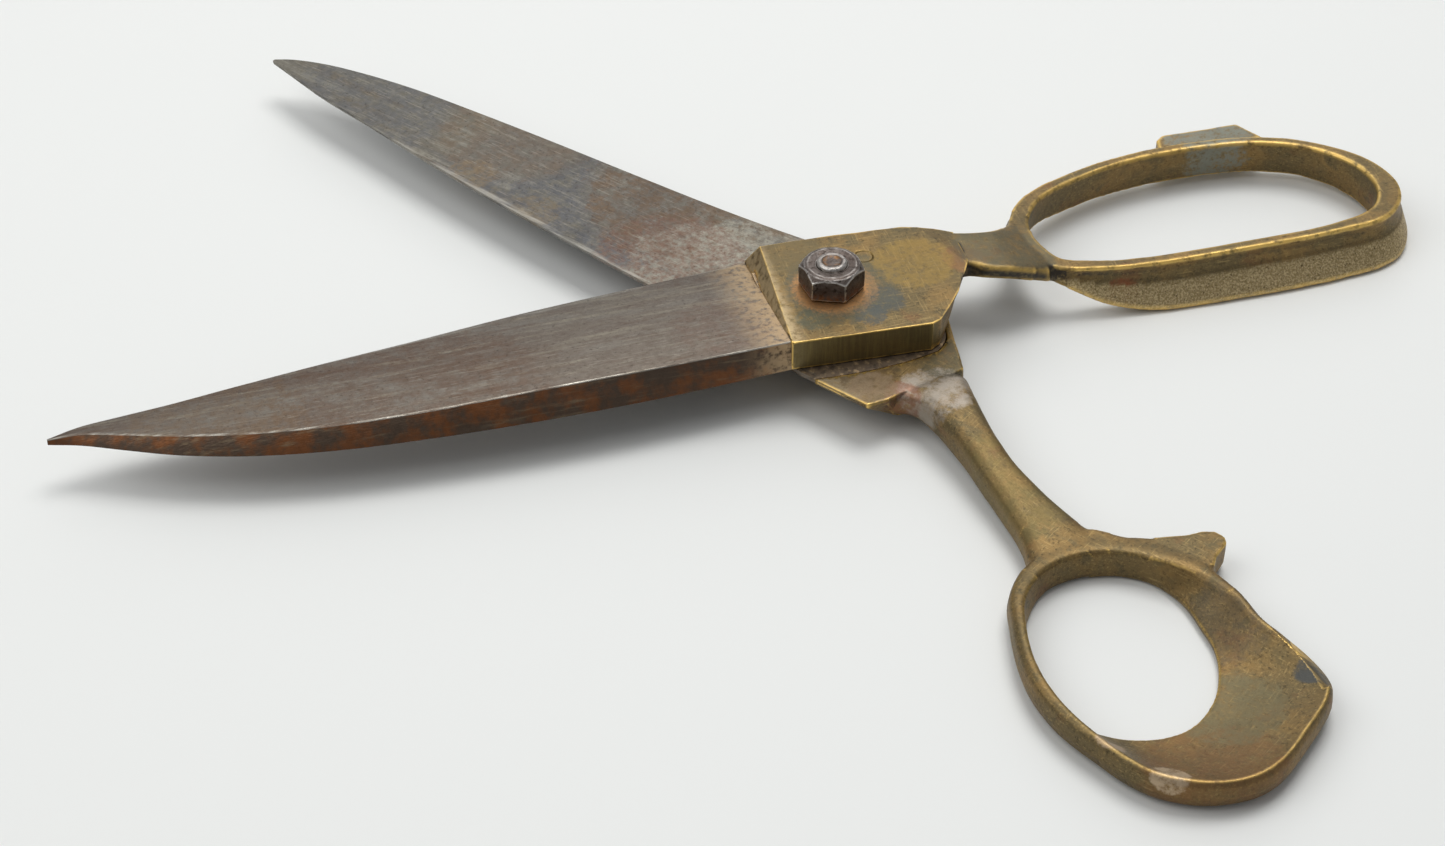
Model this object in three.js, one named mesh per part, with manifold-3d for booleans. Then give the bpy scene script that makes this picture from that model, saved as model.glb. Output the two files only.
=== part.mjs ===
// Brass-handled tailor's shears, open on a bench: two forged steel blades, each
// riveted by its tang into a cast brass handle, turning on one bolt and nut.
// Millimetres, +Z up. The origin is on the pivot axis, at the flat underside of
// the bolt head. Each half is drawn closed, blade along -X, and then turned open.
import * as THREE from 'three';
import { LoftGeometry } from 'three/addons/geometries/LoftGeometry.js';
import { mergeVertices } from 'three/addons/utils/BufferGeometryUtils.js';
import Module from 'manifold-3d';

const wasm = await Module();
wasm.setup();

// ---- driving dimensions ----
const UPPER_TURN = THREE.MathUtils.degToRad(15.2); // upper half, closed to rest
const LOWER_TURN = THREE.MathUtils.degToRad(-36.8); // lower half, closed to rest
const GAP = 0.3; // air between pieces that touch on the real shears

const HEAD_HEIGHT = 3;
const HALF_THICKNESS = 7; // one half's plate and blade root
const LOWER_BACK = HEAD_HEIGHT + GAP; // lower plate's outer face
const LOWER_MATE = 10; // lower half's flat inner face
const UPPER_MATE = LOWER_MATE + GAP; // upper half's flat inner face
const UPPER_BACK = UPPER_MATE + HALF_THICKNESS; // upper plate's outer face
const NUT_BASE = UPPER_BACK + GAP;
const NUT_HEIGHT = 5.6;
const NUT_ACROSS_CORNERS = 14;
const NUT_CORNER_ANGLE = THREE.MathUtils.degToRad(30); // in the lower half's frame
const BOLT_END = NUT_BASE + NUT_HEIGHT + 0.6;
const SHANK_RADIUS = 3.175;
const HEAD_RADIUS = 8;
const SQUARE_NECK = 8; // across flats, keys the bolt in the lower half
const SQUARE_NECK_TOP = 8;
const SHANK_CLEARANCE = 0.25; // radial, in the turning half
const SEAT_CLEARANCE = 0.3; // round seats and pockets that hold a piece still

const BLADE_ROOT = -13.5; // where each blade meets its brass handle
const TANG_THICKNESS = 3;
const RIVET_RADIUS = 2;
const RIVET_PLACE = [9.5, 7.8]; // beside the pivot, closed frame

const BRASS = new THREE.MeshStandardMaterial({ color: 0x8a6d3b, roughness: 0.5, metalness: 1 });
const STEEL = new THREE.MeshStandardMaterial({ color: 0x4d423c, roughness: 0.55, metalness: 1 });
const NUT_STEEL = new THREE.MeshStandardMaterial({ color: 0x4a403d, roughness: 0.5, metalness: 1 });

// ---- helpers ----
function solid(geometry) {
  const bare = new THREE.BufferGeometry();
  bare.setAttribute('position', geometry.attributes.position);
  bare.setIndex(geometry.index);
  const merged = mergeVertices(bare, 1e-4);
  return new wasm.Manifold(new wasm.Mesh({
    numProp: 3,
    vertProperties: new Float32Array(merged.attributes.position.array),
    triVerts: new Uint32Array(merged.index.array),
  }));
}

function namedMesh(name, shape, material) {
  const { vertProperties, triVerts } = shape.getMesh();
  const geometry = new THREE.BufferGeometry();
  geometry.setAttribute('position', new THREE.BufferAttribute(vertProperties, 3));
  geometry.setIndex(new THREE.BufferAttribute(triVerts, 1));
  const mesh = new THREE.Mesh(geometry, material);
  mesh.name = name;
  return mesh;
}

// An outline in plan, raised from zLow to zHigh.
function slab(shape, zLow, zHigh) {
  const options = { depth: zHigh - zLow, bevelEnabled: false, curveSegments: 10 };
  return solid(new THREE.ExtrudeGeometry(shape, options).translate(0, 0, zLow));
}

// A round bar on a vertical axis.
function bar(radius, zLow, zHigh, x = 0, y = 0) {
  const height = zHigh - zLow;
  const cylinder = new THREE.CylinderGeometry(radius, radius, height, 32);
  return solid(cylinder.rotateX(Math.PI / 2).translate(x, y, zLow + height / 2));
}

function box(width, depth, height, x, y, z) {
  return solid(new THREE.BoxGeometry(width, depth, height).translate(x, y, z));
}

function outline(points) {
  return new THREE.Shape(points.map(([x, y]) => new THREE.Vector2(x, y)));
}

// ---- blades ----
// Each station of a blade: x from the pivot, y of the cutting edge, y of the back
// edge, how far the ridge lies inside the back edge, and the ridge's height from
// the flat inner face. The cutting edge has a narrow ground land.
const LAND_HEIGHT = 1;
const LAND_LEAN = 0.2;
const UPPER_BLADE = [
  [-162.5, 0.4, -0.4, 0.3, 1.1],
  [-156, 2.5, -2.4, 2.0, 1.5],
  [-148, 3.6, -6.0, 2.8, 2.0],
  [-138, 4.8, -10.3, 3.4, 2.5],
  [-124, 7.0, -14.4, 3.7, 3.0],
  [-107, 9.5, -17.2, 3.7, 3.6],
  [-88, 11.9, -18.5, 3.8, 4.2],
  [-64, 15.2, -18.9, 3.8, 5.1],
  [-40, 17.6, -18.2, 2.6, 6.0],
  [-24, 19.0, -17.1, 1.4, 6.5],
  [BLADE_ROOT, 20.0, -16.3, 0.8, 6.7],
];
const LOWER_BLADE = [
  [-160, 0.2, 0.9, 0.3, 1.1],
  [-157, -0.4, 3.1, 1.0, 1.4],
  [-150, -1.9, 6.2, 1.8, 1.9],
  [-140, -3.9, 8.8, 2.4, 2.4],
  [-126, -5.7, 11.1, 3.0, 3.0],
  [-107, -8.4, 12.6, 3.4, 3.6],
  [-88, -10.7, 13.7, 3.6, 4.2],
  [-64, -13.0, 14.7, 3.6, 5.1],
  [-40, -14.8, 15.9, 2.6, 6.0],
  [-24, -16.3, 17.3, 1.4, 6.5],
  [BLADE_ROOT, -17.2, 18.6, 0.8, 6.7],
];

function upperBladeSection([x, cut, back, inset, ridge]) {
  return [
    new THREE.Vector3(x, cut, UPPER_MATE),
    new THREE.Vector3(x, cut - LAND_LEAN, UPPER_MATE + LAND_HEIGHT),
    new THREE.Vector3(x, back + inset, UPPER_MATE + ridge),
    new THREE.Vector3(x, back, UPPER_MATE),
  ];
}

// The lower blade lies face up: its back edge is on +Y, its ridge underneath.
function lowerBladeSection([x, cut, back, inset, ridge]) {
  return [
    new THREE.Vector3(x, back, LOWER_MATE),
    new THREE.Vector3(x, cut, LOWER_MATE),
    new THREE.Vector3(x, cut + LAND_LEAN, LOWER_MATE - LAND_HEIGHT),
    new THREE.Vector3(x, back - inset, LOWER_MATE - ridge),
  ];
}

// The tang runs on from the blade under the brass and ends in a round nose.
const TANG_START = BLADE_ROOT - 1;
const TANG_NEAR_SHOULDER = 6; // x where the nose starts on the near side
const TANG_FAR_SHOULDER = 8;
const TANG_NOSE = 25;
const TANG_NOSE_Y = 3;
const TANG_PULL = [-5, -13]; // from the nose to the near curve's control point
function tangOutline(nearY, farY, grow) {
  const shape = new THREE.Shape();
  shape.moveTo(TANG_START, nearY - grow);
  shape.lineTo(TANG_NEAR_SHOULDER, nearY - grow);
  const [pullX, pullY] = TANG_PULL;
  shape.quadraticCurveTo(TANG_NOSE + pullX + grow, TANG_NOSE_Y + pullY, TANG_NOSE + grow, TANG_NOSE_Y);
  shape.quadraticCurveTo(TANG_NOSE + grow, farY + grow, TANG_FAR_SHOULDER, farY + grow);
  shape.lineTo(TANG_START, farY + grow);
  return shape;
}
const UPPER_TANG = [-14, 13.5];
const LOWER_TANG = [-24, 13.5]; // as wide as the plate on the near side

// The lower tang is trimmed along the lower plate's sloped near side. Each station
// is an x and the y of the edge there.
const TANG_TRIM = [[-16, -17], [6.8, -19.7], [30, -20]];
const TRIM_DEPTH = 3; // how far the sloped side drops below the land
const TRIM_SLOPE = 4; // and how far it runs in meanwhile
const TRIM_FAR = 20; // y beyond the tang's far side
function tangTrim() {
  const sections = TANG_TRIM.map(([x, edge]) => [
    new THREE.Vector3(x, edge, LOWER_MATE + 1),
    new THREE.Vector3(x, edge, LOWER_MATE - LAND_HEIGHT),
    new THREE.Vector3(x, edge + TRIM_SLOPE, LOWER_MATE - LAND_HEIGHT - TRIM_DEPTH),
    new THREE.Vector3(x, TRIM_FAR, LOWER_MATE - LAND_HEIGHT - TRIM_DEPTH),
    new THREE.Vector3(x, TRIM_FAR, LOWER_MATE + 1),
  ]);
  return solid(new LoftGeometry(sections, { capStart: true, capEnd: true }));
}

function upperBlade() {
  const blade = solid(new LoftGeometry(UPPER_BLADE.map(upperBladeSection), { capStart: true, capEnd: true }));
  const tang = slab(tangOutline(...UPPER_TANG, 0), UPPER_MATE, UPPER_MATE + TANG_THICKNESS);
  return blade.add(tang)
    .subtract(bar(SHANK_RADIUS + SHANK_CLEARANCE, 0, BOLT_END))
    .subtract(bar(RIVET_RADIUS + SEAT_CLEARANCE, 0, BOLT_END, ...RIVET_PLACE));
}

function lowerBlade() {
  const blade = solid(new LoftGeometry(LOWER_BLADE.map(lowerBladeSection), { capStart: true, capEnd: true }));
  const tang = slab(tangOutline(...LOWER_TANG, 0), LOWER_MATE - TANG_THICKNESS, LOWER_MATE)
    .intersect(tangTrim());
  return blade.add(tang)
    .subtract(squareSeat())
    .subtract(bar(SHANK_RADIUS + SEAT_CLEARANCE, 0, BOLT_END))
    .subtract(bar(RIVET_RADIUS + SEAT_CLEARANCE, 0, BOLT_END, ...RIVET_PLACE));
}

// ---- necks and bows ----
// A flattened oval between a near and a far edge point, from zLow to zHigh.
const NECK_SIDES = 12;
const UPPER_NECK_POWER = 0.35; // 1 is an ellipse, smaller is boxier
const LOWER_NECK_POWER = 0.6;
function neckSection([nearX, nearY, farX, farY, zLow, zHigh], power) {
  const points = [];
  for (let i = 0; i < NECK_SIDES; i++) {
    const angle = (2 * Math.PI * (i + 0.5)) / NECK_SIDES;
    const across = Math.sign(Math.cos(angle)) * Math.abs(Math.cos(angle)) ** power;
    const up = Math.sign(Math.sin(angle)) * Math.abs(Math.sin(angle)) ** power;
    const place = new THREE.Vector3((nearX + farX) / 2, (nearY + farY) / 2, (zLow + zHigh) / 2);
    place.x += (across * (farX - nearX)) / 2;
    place.y += (across * (farY - nearY)) / 2;
    place.z += (up * (zHigh - zLow)) / 2;
    points.push(place);
  }
  return points;
}

function neck(stations, power) {
  const sections = stations.map((station) => neckSection(station, power));
  return solid(new LoftGeometry(sections, { capStart: true, capEnd: true }));
}

// A closed smooth run through values given at evenly numbered stations.
function smoothLoop(rows, samples) {
  const width = rows[0].length;
  const curves = [];
  for (let first = 0; first < width; first += 3) {
    const triple = rows.map((row) => new THREE.Vector3(row[first], row[first + 1] ?? 0, row[first + 2] ?? 0));
    curves.push(new THREE.CatmullRomCurve3(triple, true, 'centripetal'));
  }
  const loop = [];
  for (let i = 0; i < samples; i++) {
    loop.push(curves.flatMap((curve) => curve.getPoint(i / samples).toArray()));
  }
  return loop;
}

// Finger bow: middle of the wall x and y, its thickness at the rim, the height of
// its rim and of its foot edge, and how far the foot flares out.
const FINGER_BOW = [
  [50.5, 1.4, 4.0, 12.6, 8.5, 0.4],
  [60, -0.6, 3.2, 11.6, 3.4, 2.0],
  [71, -1.3, 3.0, 11.0, 0.6, 3.4],
  [94, -1.4, 3.0, 11.0, 0.3, 4.0],
  [114, -0.6, 3.2, 11.0, 0.3, 4.0],
  [126.4, 2.3, 4.8, 11.0, 0.3, 3.4],
  [131.7, 10, 5.4, 10.8, 0.6, 2.2],
  [130.5, 19.3, 4.4, 11.0, 1.2, 2.0],
  [123, 28.5, 3.0, 11.0, 1.8, 2.6],
  [112, 34.2, 2.8, 11.0, 2.2, 2.2],
  [97, 36.4, 2.8, 11.0, 2.2, 2.0],
  [80, 35.6, 2.8, 11.0, 2.2, 2.0],
  [66, 32, 3.0, 11.2, 2.6, 1.8],
  [54, 26, 3.6, 11.8, 4.2, 1.2],
  [48, 18, 4.6, 12.6, 6.4, 0.8],
  [46.6, 9, 5.0, 13.2, 8.6, 0.4],
];
const FINGER_BOW_SAMPLES = 64;
const INNER_LEAN = 0.5; // share of the flare that the inner face follows
const GROOVE_HEIGHT = 0.56; // of the wall, where the outer face starts to flare
const INNER_CHAMFER = 0.8;
const OUTER_CHAMFER = 0.5;
const FOOT_EDGE = 1.2; // upright edge under the flare
function fingerBow() {
  const loop = smoothLoop(FINGER_BOW, FINGER_BOW_SAMPLES);
  const sections = loop.map(([x, y, thickness, top, foot, flare], i) => {
    const before = loop.at(i - 1);
    const after = loop[(i + 1) % loop.length];
    const along = new THREE.Vector2(after[0] - before[0], after[1] - before[1]).normalize();
    const outward = new THREE.Vector2(along.y, -along.x);
    const corner = (out, z) => new THREE.Vector3(x + out * outward.x, y + out * outward.y, z);
    const half = thickness / 2;
    return [
      corner(-half + flare * INNER_LEAN, foot),
      corner(-half, top - INNER_CHAMFER),
      corner(-half + INNER_CHAMFER, top),
      corner(half - OUTER_CHAMFER, top),
      corner(half, top - OUTER_CHAMFER),
      corner(half, foot + (top - foot) * GROOVE_HEIGHT),
      corner(half + flare, foot + FOOT_EDGE),
      corner(half + flare - FOOT_EDGE / 2, foot),
    ];
  });
  return solid(new LoftGeometry([...sections, sections[0]]));
}

// Thumb bow: round its centre, the radii of the hole, of the dished rim and of the
// outside. Every row is one step of 360 degrees / rows, from the +X direction.
const THUMB_CENTRE = [98, -45];
const THUMB_BOW = [
  [20, 38.2, 40.1],
  [18.8, 37.4, 39.3],
  [18.4, 26.8, 29.2],
  [18.8, 25.0, 27.8],
  [21.4, 24.0, 28.4],
  [23.6, 23.4, 28.6],
  [23.6, 23.8, 28.4],
  [22.6, 22.8, 27.4],
  [19.8, 20.6, 24.4],
  [17.6, 17.8, 20.8],
  [16.8, 17.0, 19.8],
  [17.4, 17.8, 20.8],
  [19.2, 20.4, 23.4],
  [20.4, 25.6, 28.2],
  [21.2, 34.6, 36.9],
  [21.4, 39.6, 41.6],
];
const THUMB_BOW_SAMPLES = 64;
const THUMB_RIM = 7.4;
const THUMB_UNDERSIDE = 0.3;
const THUMB_LIP = 2; // height of the dish's edge at the hole
const DISH_MIDDLE = 0.45; // share of the dish's width where its slope changes
const DISH_SLOPE = 0.08; // how much higher that middle is in a wider dish
function thumbBow() {
  const loop = smoothLoop(THUMB_BOW, THUMB_BOW_SAMPLES);
  const sections = loop.map(([hole, rim, outside], i) => {
    const angle = (2 * Math.PI * i) / THUMB_BOW_SAMPLES;
    const dish = Math.max(rim - hole, 0);
    const corner = (radius, z) => new THREE.Vector3(
      THUMB_CENTRE[0] + radius * Math.cos(angle),
      THUMB_CENTRE[1] + radius * Math.sin(angle),
      z,
    );
    return [
      corner(hole, THUMB_UNDERSIDE),
      corner(hole, THUMB_LIP),
      corner(hole + DISH_MIDDLE * dish, THUMB_LIP + 1 + DISH_SLOPE * dish),
      corner(rim, THUMB_RIM - 0.4),
      corner((rim + outside) / 2, THUMB_RIM),
      corner(outside - 0.4, THUMB_RIM - 1.2),
      corner(outside, THUMB_RIM / 2),
      corner(outside - 1.4, THUMB_UNDERSIDE + 0.6),
      corner(outside - 2.4, THUMB_UNDERSIDE),
    ];
  });
  return solid(new LoftGeometry([...sections, sections[0]]));
}

// ---- finger bow handle: the upper brass casting ----
const PLATE_LAND = 1.2; // upright edge of a plate next to its mating face
function plate(corners, outerFace, matingFace) {
  const level = (z, share) => corners.map(([x, y, spread]) => new THREE.Vector3(x, y + share * spread, z));
  const landTop = matingFace + Math.sign(outerFace - matingFace) * PLATE_LAND;
  const levels = [level(outerFace, 0), level(landTop, 1), level(matingFace, 1)];
  if (outerFace > matingFace) levels.reverse();
  return solid(new LoftGeometry(levels, { capStart: true, capEnd: true }));
}

// Each plate corner: x, y at the outer face, and how far along +Y the mating face's
// corner lies from it: outwards on the sloped far side, inwards where a side is undercut.
const UPPER_PLATE = [
  [-13.2, -16.3, 0], [16.5, -17.6, 0], [18.6, -16.6, 0.3], [22, -12.6, 1.6], [25.2, -8.4, 3.2],
  [28, -3.6, 3.8], [30.4, 1, 3.8], [31, 12.6, 0.4], [27, 14, 0.8], [20, 15.8, 1.4],
  [4, 16.8, 2.2], [-13.2, 17, 3],
];
const UPPER_NECK = [
  [24, -2, 24, 13.2, UPPER_MATE + 0.5, UPPER_BACK - 1.0],
  [30, 1.4, 30, 12.9, UPPER_MATE + 1.4, UPPER_BACK - 0.85],
  [34, -0.8, 34, 12.2, UPPER_MATE + 2.0, UPPER_BACK - 1.05],
  [39, -1.9, 39, 12.2, UPPER_MATE + 1.6, UPPER_BACK - 1.6],
  [44, -2.0, 42.6, 14.6, UPPER_MATE + 0.2, UPPER_BACK - 2.9],
  [48.5, -1.4, 46, 17.8, UPPER_MATE - 1.8, UPPER_BACK - 4.3],
];
// The plate's top slopes down to the neck on the plane through these points.
const SHOULDER = [[24.1, 13.6, UPPER_BACK], [29.1, 1.9, UPPER_BACK], [34.5, 5, UPPER_BACK - 1.3]];
const FOOT_WIDTH = 24; // table-rest foot on the outside of the finger bow
const FOOT_CENTRE = 102;
const FOOT_FACE = 44.4; // y of its flat outer face
const FOOT_ROOT = 37.6;
const FOOT_LOW = 2.6;
const FOOT_TOP = 9;

function cutAbove(points, shape) {
  const corners = points.map((point) => new THREE.Vector3(...point));
  const plane = new THREE.Plane().setFromCoplanarPoints(...corners);
  if (plane.normal.z > 0) plane.negate();
  return shape.trimByPlane(plane.normal.toArray(), -plane.constant);
}

const BEVEL_NEAR = { y: -17, reach: 0.8, drop: 0.3 }; // hardly cut at the near edge
const BEVEL_FAR = { y: 21, reach: 3.1, drop: 5.8 };

function frontBevel() {
  // Widens from nothing at the near edge to a broad slope at the far edge,
  // from the plate's top down to the thin cutting-edge side of the blade.
  const wedge = ({ y, reach, drop }) => [
    new THREE.Vector3(BLADE_ROOT - 1, y, UPPER_BACK - drop),
    new THREE.Vector3(BLADE_ROOT - 1, y, UPPER_BACK + 1),
    new THREE.Vector3(BLADE_ROOT + reach, y, UPPER_BACK + 1),
    new THREE.Vector3(BLADE_ROOT + 0.2, y, UPPER_BACK - drop),
  ];
  const sections = [wedge(BEVEL_NEAR), wedge(BEVEL_FAR)];
  return solid(new LoftGeometry(sections, { capStart: true, capEnd: true }));
}

function fingerBowHandle() {
  const left = FOOT_CENTRE - FOOT_WIDTH / 2;
  const right = FOOT_CENTRE + FOOT_WIDTH / 2;
  const foot = outline([
    [left - 1, FOOT_ROOT], [left, FOOT_FACE - 1.5], [left + 2, FOOT_FACE],
    [right - 4, FOOT_FACE], [right, FOOT_ROOT],
  ]);
  return cutAbove(SHOULDER, plate(UPPER_PLATE, UPPER_BACK, UPPER_MATE))
    .subtract(frontBevel())
    .add(neck(UPPER_NECK, UPPER_NECK_POWER))
    .add(fingerBow())
    .add(slab(foot, FOOT_LOW, FOOT_TOP))
    .subtract(slab(tangOutline(...UPPER_TANG, SEAT_CLEARANCE), 0, UPPER_MATE + TANG_THICKNESS + GAP))
    .subtract(bar(SHANK_RADIUS + SHANK_CLEARANCE, 0, BOLT_END))
    .subtract(bar(RIVET_RADIUS + SEAT_CLEARANCE, 0, BOLT_END, ...RIVET_PLACE));
}

// ---- thumb bow handle: the lower brass casting ----
const LOWER_PLATE = [
  [-13.2, -10.2, -7], [6.8, -12.8, -7], [23.4, -13.1, -7], [25.8, -12.6, -3.4], [26.8, -11.4, -1],
  [28.9, -7.4, 0], [32.6, 1.4, 0], [26.6, 7.3, 0], [20.4, 13.8, 0], [12, 17.2, 0], [-13.2, 18.6, 0],
];
const LOWER_NECK = [
  [25, -15, 29, -1, LOWER_BACK + 0.6, LOWER_MATE - 0.4],
  [29, -12.6, 33.4, 0.4, LOWER_BACK, LOWER_MATE + 0.6],
  [34.6, -13.6, 38.6, -3.6, LOWER_BACK - 0.6, LOWER_MATE + 1.0],
  [43.4, -17.4, 46.8, -9.8, LOWER_BACK - 1.1, LOWER_MATE + 0.4],
  [52, -22.2, 55.2, -14.8, LOWER_BACK - 1.6, LOWER_MATE - 0.6],
  [60, -26.8, 64, -18.2, LOWER_BACK - 2.2, LOWER_MATE - 1.5],
  [67.4, -31.6, 73.2, -20.6, 0.7, LOWER_MATE - 2.2],
  [73, -37.4, 80, -22, 0.8, THUMB_RIM - 0.2],
];
const SPUR = [ // closing stop that meets the finger bow's wall
  [80, -24.5], [77, -21.6], [84, -19.4], [89, -16.4], [93.2, -12.4], [95, -9.6],
  [97, -8.2], [99.4, -8.4], [100.6, -9.8], [101, -14.2], [102.4, -18.2], [105, -20.4], [98, -19], [88, -21],
];
const SPUR_LOW = 1.4;
// The flat filed on the dish's corner: where it starts, its inner end, its low corner.
const FILED_FLAT = [[121.3, -27.1, 7.3], [134, -34.8, 7.3], [132.6, -28.3, 4.5]];
const FILED_FLAT_RUN = 8; // the cutter starts this far before the flat
const FILED_FLAT_REACH = 14;

function filedFlat() {
  const [start, end, low] = FILED_FLAT.map((point) => new THREE.Vector3(...point));
  const along = end.clone().sub(start);
  const length = along.length();
  along.normalize();
  const outward = low.clone().sub(start);
  outward.addScaledVector(along, -outward.dot(along)).normalize();
  const up = new THREE.Vector3().crossVectors(along, outward);
  const cutter = new THREE.BoxGeometry(length + FILED_FLAT_RUN, FILED_FLAT_REACH, THUMB_RIM);
  cutter.translate((length - FILED_FLAT_RUN) / 2, FILED_FLAT_REACH / 2, THUMB_RIM / 2);
  return solid(cutter.applyMatrix4(new THREE.Matrix4().makeBasis(along, outward, up).setPosition(start)));
}

function squareSeat() {
  const width = SQUARE_NECK + 2 * SEAT_CLEARANCE;
  return box(width, width, SQUARE_NECK_TOP + GAP, 0, 0, (SQUARE_NECK_TOP + GAP) / 2);
}

function thumbBowHandle() {
  const pocketFloor = LOWER_MATE - TANG_THICKNESS - GAP;
  return plate(LOWER_PLATE, LOWER_BACK, LOWER_MATE)
    .add(neck(LOWER_NECK, LOWER_NECK_POWER))
    .add(thumbBow())
    .add(slab(outline(SPUR), SPUR_LOW, THUMB_RIM - 0.4))
    .subtract(filedFlat())
    .subtract(slab(tangOutline(...LOWER_TANG, SEAT_CLEARANCE), pocketFloor, BOLT_END))
    .subtract(squareSeat())
    .subtract(bar(RIVET_RADIUS + SEAT_CLEARANCE, 0, BOLT_END, ...RIVET_PLACE));
}

// ---- pivot hardware ----
function pivotBolt() {
  const profile = [
    [0, 0], [HEAD_RADIUS - 0.8, 0], [HEAD_RADIUS, 0.8], [HEAD_RADIUS, HEAD_HEIGHT - 0.4],
    [HEAD_RADIUS - 0.4, HEAD_HEIGHT], [SHANK_RADIUS, HEAD_HEIGHT], [SHANK_RADIUS, BOLT_END - 0.6],
    [SHANK_RADIUS - 0.6, BOLT_END], [0, BOLT_END],
  ];
  const points = profile.map(([radius, height]) => new THREE.Vector2(radius, height));
  const turned = solid(new THREE.LatheGeometry(points, 40).rotateX(Math.PI / 2));
  const neckHeight = SQUARE_NECK_TOP - HEAD_HEIGHT / 2;
  const middle = (SQUARE_NECK_TOP + HEAD_HEIGHT / 2) / 2;
  return turned.add(box(SQUARE_NECK, SQUARE_NECK, neckHeight, 0, 0, middle));
}

function pivotNut() {
  const radius = NUT_ACROSS_CORNERS / 2;
  const hexagon = new THREE.Shape();
  for (let i = 0; i < 6; i++) {
    const angle = NUT_CORNER_ANGLE + (i * Math.PI) / 3;
    const place = [radius * Math.cos(angle), radius * Math.sin(angle)];
    if (i === 0) hexagon.moveTo(...place);
    else hexagon.lineTo(...place);
  }
  const top = NUT_BASE + NUT_HEIGHT;
  const cone = new THREE.CylinderGeometry(radius - 1.2, radius + 1.8, NUT_HEIGHT, 48);
  cone.rotateX(Math.PI / 2).translate(0, 0, NUT_BASE + NUT_HEIGHT / 2);
  return slab(hexagon, NUT_BASE, top)
    .intersect(solid(cone))
    .subtract(bar(SHANK_RADIUS + SEAT_CLEARANCE, 0, BOLT_END));
}

function tangRivet(zLow, zHigh) {
  return bar(RIVET_RADIUS, zLow, zHigh, ...RIVET_PLACE);
}

// ---- the shears ----
const upperHalf = new THREE.Group();
upperHalf.rotation.z = UPPER_TURN;
upperHalf.add(namedMesh('upper_blade', upperBlade(), STEEL));
upperHalf.add(namedMesh('finger_bow_handle', fingerBowHandle(), BRASS));
upperHalf.add(namedMesh('upper_tang_rivet', tangRivet(UPPER_MATE, UPPER_BACK), BRASS));

const lowerHalf = new THREE.Group();
lowerHalf.rotation.z = LOWER_TURN;
lowerHalf.add(namedMesh('lower_blade', lowerBlade(), STEEL));
lowerHalf.add(namedMesh('thumb_bow_handle', thumbBowHandle(), BRASS));
lowerHalf.add(namedMesh('lower_tang_rivet', tangRivet(LOWER_BACK, LOWER_MATE), BRASS));
lowerHalf.add(namedMesh('pivot_bolt', pivotBolt(), NUT_STEEL));
lowerHalf.add(namedMesh('pivot_nut', pivotNut(), NUT_STEEL));

const group = new THREE.Group();
group.add(upperHalf);
group.add(lowerHalf);

export default group;
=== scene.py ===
# %% [markdown]
# # Brass-handled tailor's shears
# A cutter's heavy shears: two forged steel blades, each riveted by its tang into a
# sand-cast brass handle, turning on one square-necked bolt and a hexagon nut. The
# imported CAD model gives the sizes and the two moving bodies. This lesson replaces
# each plain CAD solid with a worn, rounded, stained piece in exactly the same place.

# %% Load the frame
import math

import bmesh
import bpy
import numpy as np
from mathutils import Matrix, Vector, noise


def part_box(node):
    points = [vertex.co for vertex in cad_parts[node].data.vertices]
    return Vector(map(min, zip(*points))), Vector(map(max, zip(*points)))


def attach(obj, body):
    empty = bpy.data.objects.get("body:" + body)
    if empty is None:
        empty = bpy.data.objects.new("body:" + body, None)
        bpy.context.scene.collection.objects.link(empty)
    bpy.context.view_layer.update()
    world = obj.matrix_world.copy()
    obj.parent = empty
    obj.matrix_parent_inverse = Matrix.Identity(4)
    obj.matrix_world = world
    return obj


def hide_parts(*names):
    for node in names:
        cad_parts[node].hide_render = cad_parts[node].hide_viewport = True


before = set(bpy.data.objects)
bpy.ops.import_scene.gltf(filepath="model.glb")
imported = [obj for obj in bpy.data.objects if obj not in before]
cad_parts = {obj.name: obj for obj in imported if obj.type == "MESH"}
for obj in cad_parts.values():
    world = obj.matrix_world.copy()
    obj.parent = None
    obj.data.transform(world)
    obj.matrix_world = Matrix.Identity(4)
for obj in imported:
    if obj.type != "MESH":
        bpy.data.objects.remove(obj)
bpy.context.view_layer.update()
MM = 0.001

# %% [markdown]
# ## Levels and turns
# Both halves are drawn closed, with the blade along -X, because then one blade is
# the other's neighbour and a section is easy to read. At the end each half is
# turned open about the pivot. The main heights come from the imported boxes.

# %% Levels and turns
UPPER_TURN = math.radians(15.2)
LOWER_TURN = math.radians(-36.8)
TURNS = {"upper_half": UPPER_TURN, "lower_half": LOWER_TURN}
LOWER_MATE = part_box("lower_blade")[1].z / MM
UPPER_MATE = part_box("upper_blade")[0].z / MM
UPPER_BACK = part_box("upper_tang_rivet")[1].z / MM
LOWER_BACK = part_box("lower_tang_rivet")[0].z / MM
NUT_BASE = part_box("pivot_nut")[0].z / MM
NUT_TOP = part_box("pivot_nut")[1].z / MM
BOLT_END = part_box("pivot_bolt")[1].z / MM
BLADE_ROOT = -13.5
RIVET_PLACE = (9.5, 7.8)
RIVET_RADIUS = 2.0
PIVOT_HOLE = 3.45
SQUARE_HOLE = 8.6
SQUARE_HOLE_TOP = 8.3
THROUGH = (0, 30)  # heights that reach past everything
print("mating faces at", round(LOWER_MATE, 2), round(UPPER_MATE, 2), "mm")

# %% [markdown]
# ## Camera, floor and light
# The view is from the front, about 40 degrees above the bench, with a long lens.
# The floor is a plain pale bench. A broad soft light hangs above and a little
# behind, a second one at the left, and a wide pale card of light stands at the
# back, so the upward faces carry a sheen and the faces towards the camera stay dark.

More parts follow.
